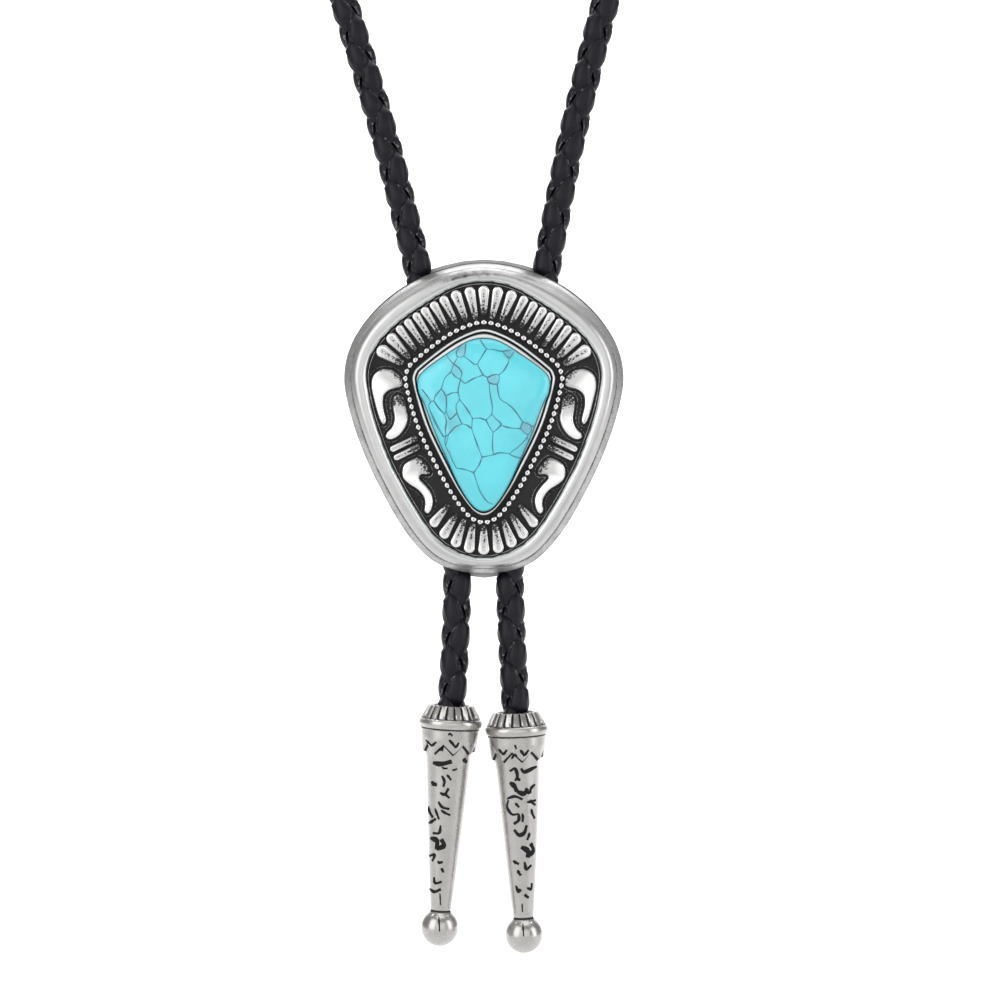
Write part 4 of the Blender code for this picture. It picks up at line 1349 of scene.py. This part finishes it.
class BOLO_OT_tips(bpy.types.Operator):
    """Turn and engrave the two tips, and hang each tail cord in its tip"""
    bl_idname = "bolo.tips"
    bl_label = "Tips"

    def execute(self, context):
        tip = context.scene.bolo_tip
        slide = context.scene.bolo_slide
        metal = antiqued_silver("satin_silver", tip.silver, slide, speckle=0.5, satin=0.28)
        ink, _tree, _shader = clouded_material(
            "engraved_black", slide.patina, (0.024, 0.023, 0.022), scale=2500.0, Roughness=0.5,
            Specular_IOR_Level=0.12,
        )
        for side, route in TAIL_ROUTES.items():
            end, before = Vector(route[-1]), Vector(route[-2])
            along = (end - before).normalized()
            body = tip_body(tip, "cast_tip_" + side)
            body.rotation_euler = (0.0, math.asin(-along.x), 0.0)
            body.location = end - along * tip.grip
            only(body)
            bpy.context.view_layer.update()
            seat = body.matrix_world.copy()
            bpy.ops.object.transform_apply(location=True, rotation=True, scale=True)
            shade_round(body, 40.0)
            finish_piece(body, metal, ["tip_" + side])
            corner = Vector((STROKE_CORNER[0], end.y, STROKE_CORNER[1]))
            lines = []
            for width, line in STROKES[side]:
                places = [corner + Vector((x, 0.0, -y)) * STROKE_UNIT for x, y in line]
                lines.append((width * STROKE_UNIT * STROKE_SWELL, places))
            eye = Vector(context.scene.bolo_stage.camera_place)
            front = inlay("strokes", lines, body, STROKE_SINK, STROKE_TAPER, eye)
            back = front.copy()
            back.data = front.data.copy()
            back.data.transform(seat @ Matrix.Rotation(math.pi, 4, "Z") @ seat.inverted())
            context.scene.collection.objects.link(back)
            engraving = joined("tip_engraving_" + side, [front, back])
            finish_piece(engraving, ink)
        return {"FINISHED"}


class BOLO_OT_stage(bpy.types.Operator):
    """Set the camera, the pale floor and the soft studio lights"""
    bl_idname = "bolo.stage"
    bl_label = "Stage"

    def execute(self, context):
        stage = context.scene.bolo_stage
        camera = bpy.data.cameras.new("camera")
        camera.lens = stage.lens
        camera.sensor_width = 36.0
        camera.clip_start = 0.01
        eye = bpy.data.objects.new("camera", camera)
        eye.location = stage.camera_place
        eye.rotation_euler = (math.radians(90.0), 0.0, 0.0)
        context.scene.collection.objects.link(eye)
        context.scene.camera = eye
        self.add_floor(stage)
        self.add_lights(context)
        return {"FINISHED"}

    def add_floor(self, stage):
        """A pale sheet: floor, a wide bend, and a wall behind."""
        only(None)
        bpy.ops.mesh.primitive_plane_add(size=FLOOR_SIZE)
        sheet = renamed(bpy.context.active_object, "floor")
        bpy.ops.object.mode_set(mode="EDIT")
        self.pick_wall_foot(sheet)
        bpy.ops.mesh.extrude_edges_move(TRANSFORM_OT_translate={"value": (0.0, 0.0, WALL_HEIGHT)})
        bpy.ops.mesh.select_all(action="DESELECT")
        self.pick_wall_foot(sheet)
        bpy.ops.mesh.bevel(offset=BEND_RADIUS, segments=BEND_STEPS, affect="EDGES")
        bpy.ops.object.mode_set(mode="OBJECT")
        sheet.location.z = CAD_BOX[0].z - stage.floor_drop
        bpy.ops.object.transform_apply(location=True)
        shade_round(sheet, 60.0)
        material, tree, shader = plain_material("pale_floor")
        set_inputs(tree, shader, {"Base Color": (*stage.pale, 1.0), "Roughness": 0.9})
        sheet.data.materials.append(material)

    def pick_wall_foot(self, sheet):
        """Selects the floor's edge along the wall."""
        mesh = bmesh.from_edit_mesh(sheet.data)
        for edge in mesh.edges:
            edge.select_set(all(vertex.co.y > WALL_LINE and vertex.co.z < WALL_LINE for vertex in edge.verts))
        bmesh.update_edit_mesh(sheet.data)

    def add_lights(self, context):
        """Large soft lights: one in front, one at each side, one above, and one behind that lights the wall."""
        context.scene.view_settings.view_transform = "Standard"
        world = bpy.data.worlds.new("studio")
        world.use_nodes = True
        tree = world.node_tree
        set_inputs(tree, tree.nodes["Background"], {"Color": (1.0, 1.0, 1.0, 1.0), "Strength": WORLD_STRENGTH})
        context.scene.world = world
        for name, place, target, width, height, power in LIGHTS:
            lamp = bpy.data.lights.new(name, "AREA")
            lamp.energy = power
            lamp.shape = "RECTANGLE"
            lamp.size = width
            lamp.size_y = height
            light = bpy.data.objects.new(name, lamp)
            light.location = place
            light.rotation_euler = (target - Vector(place)).to_track_quat("-Z", "Y").to_euler()
            context.scene.collection.objects.link(light)


class BOLO_PT_panel(bpy.types.Panel):
    """Sizes, colours and steps of the bolo tie"""
    bl_label = "Bolo Tie"
    bl_idname = "BOLO_PT_panel"
    bl_space_type = "VIEW_3D"
    bl_region_type = "UI"
    bl_category = "Bolo Tie"

    def draw(self, context):
        layout = self.layout
        for operator in OPERATORS:
            layout.operator(operator.bl_idname)
        for name, kind in SETTINGS.items():
            group = getattr(context.scene, name)
            box = layout.box()
            box.label(text=name.replace("_", " ").title())
            for key in kind.__annotations__:
                box.prop(group, key)


OPERATORS = (
    BOLO_OT_stage, BOLO_OT_cords, BOLO_OT_slide_body, BOLO_OT_relief, BOLO_OT_beads, BOLO_OT_stone,
    BOLO_OT_clip, BOLO_OT_tips,
)
SETTINGS = {
    "bolo_cord": CordSettings, "bolo_slide": SlideSettings, "bolo_stone": StoneSettings,
    "bolo_tip": TipSettings, "bolo_stage": StageSettings,
}


def register():
    for kind in (*SETTINGS.values(), *OPERATORS, BOLO_PT_panel):
        bpy.utils.register_class(kind)
    for name, kind in SETTINGS.items():
        setattr(bpy.types.Scene, name, PointerProperty(type=kind))


def unregister():
    for name in SETTINGS:
        delattr(bpy.types.Scene, name)
    for kind in reversed((*SETTINGS.values(), *OPERATORS, BOLO_PT_panel)):
        bpy.utils.unregister_class(kind)


def main():
    register()
    patina_group()
    bpy.ops.bolo.stage()
    bpy.ops.bolo.cords()
    bpy.ops.bolo.slide_body()
    bpy.ops.bolo.relief()
    bpy.ops.bolo.beads()
    bpy.ops.bolo.stone()
    bpy.ops.bolo.clip()
    bpy.ops.bolo.tips()


if __name__ == "__main__":
    main()
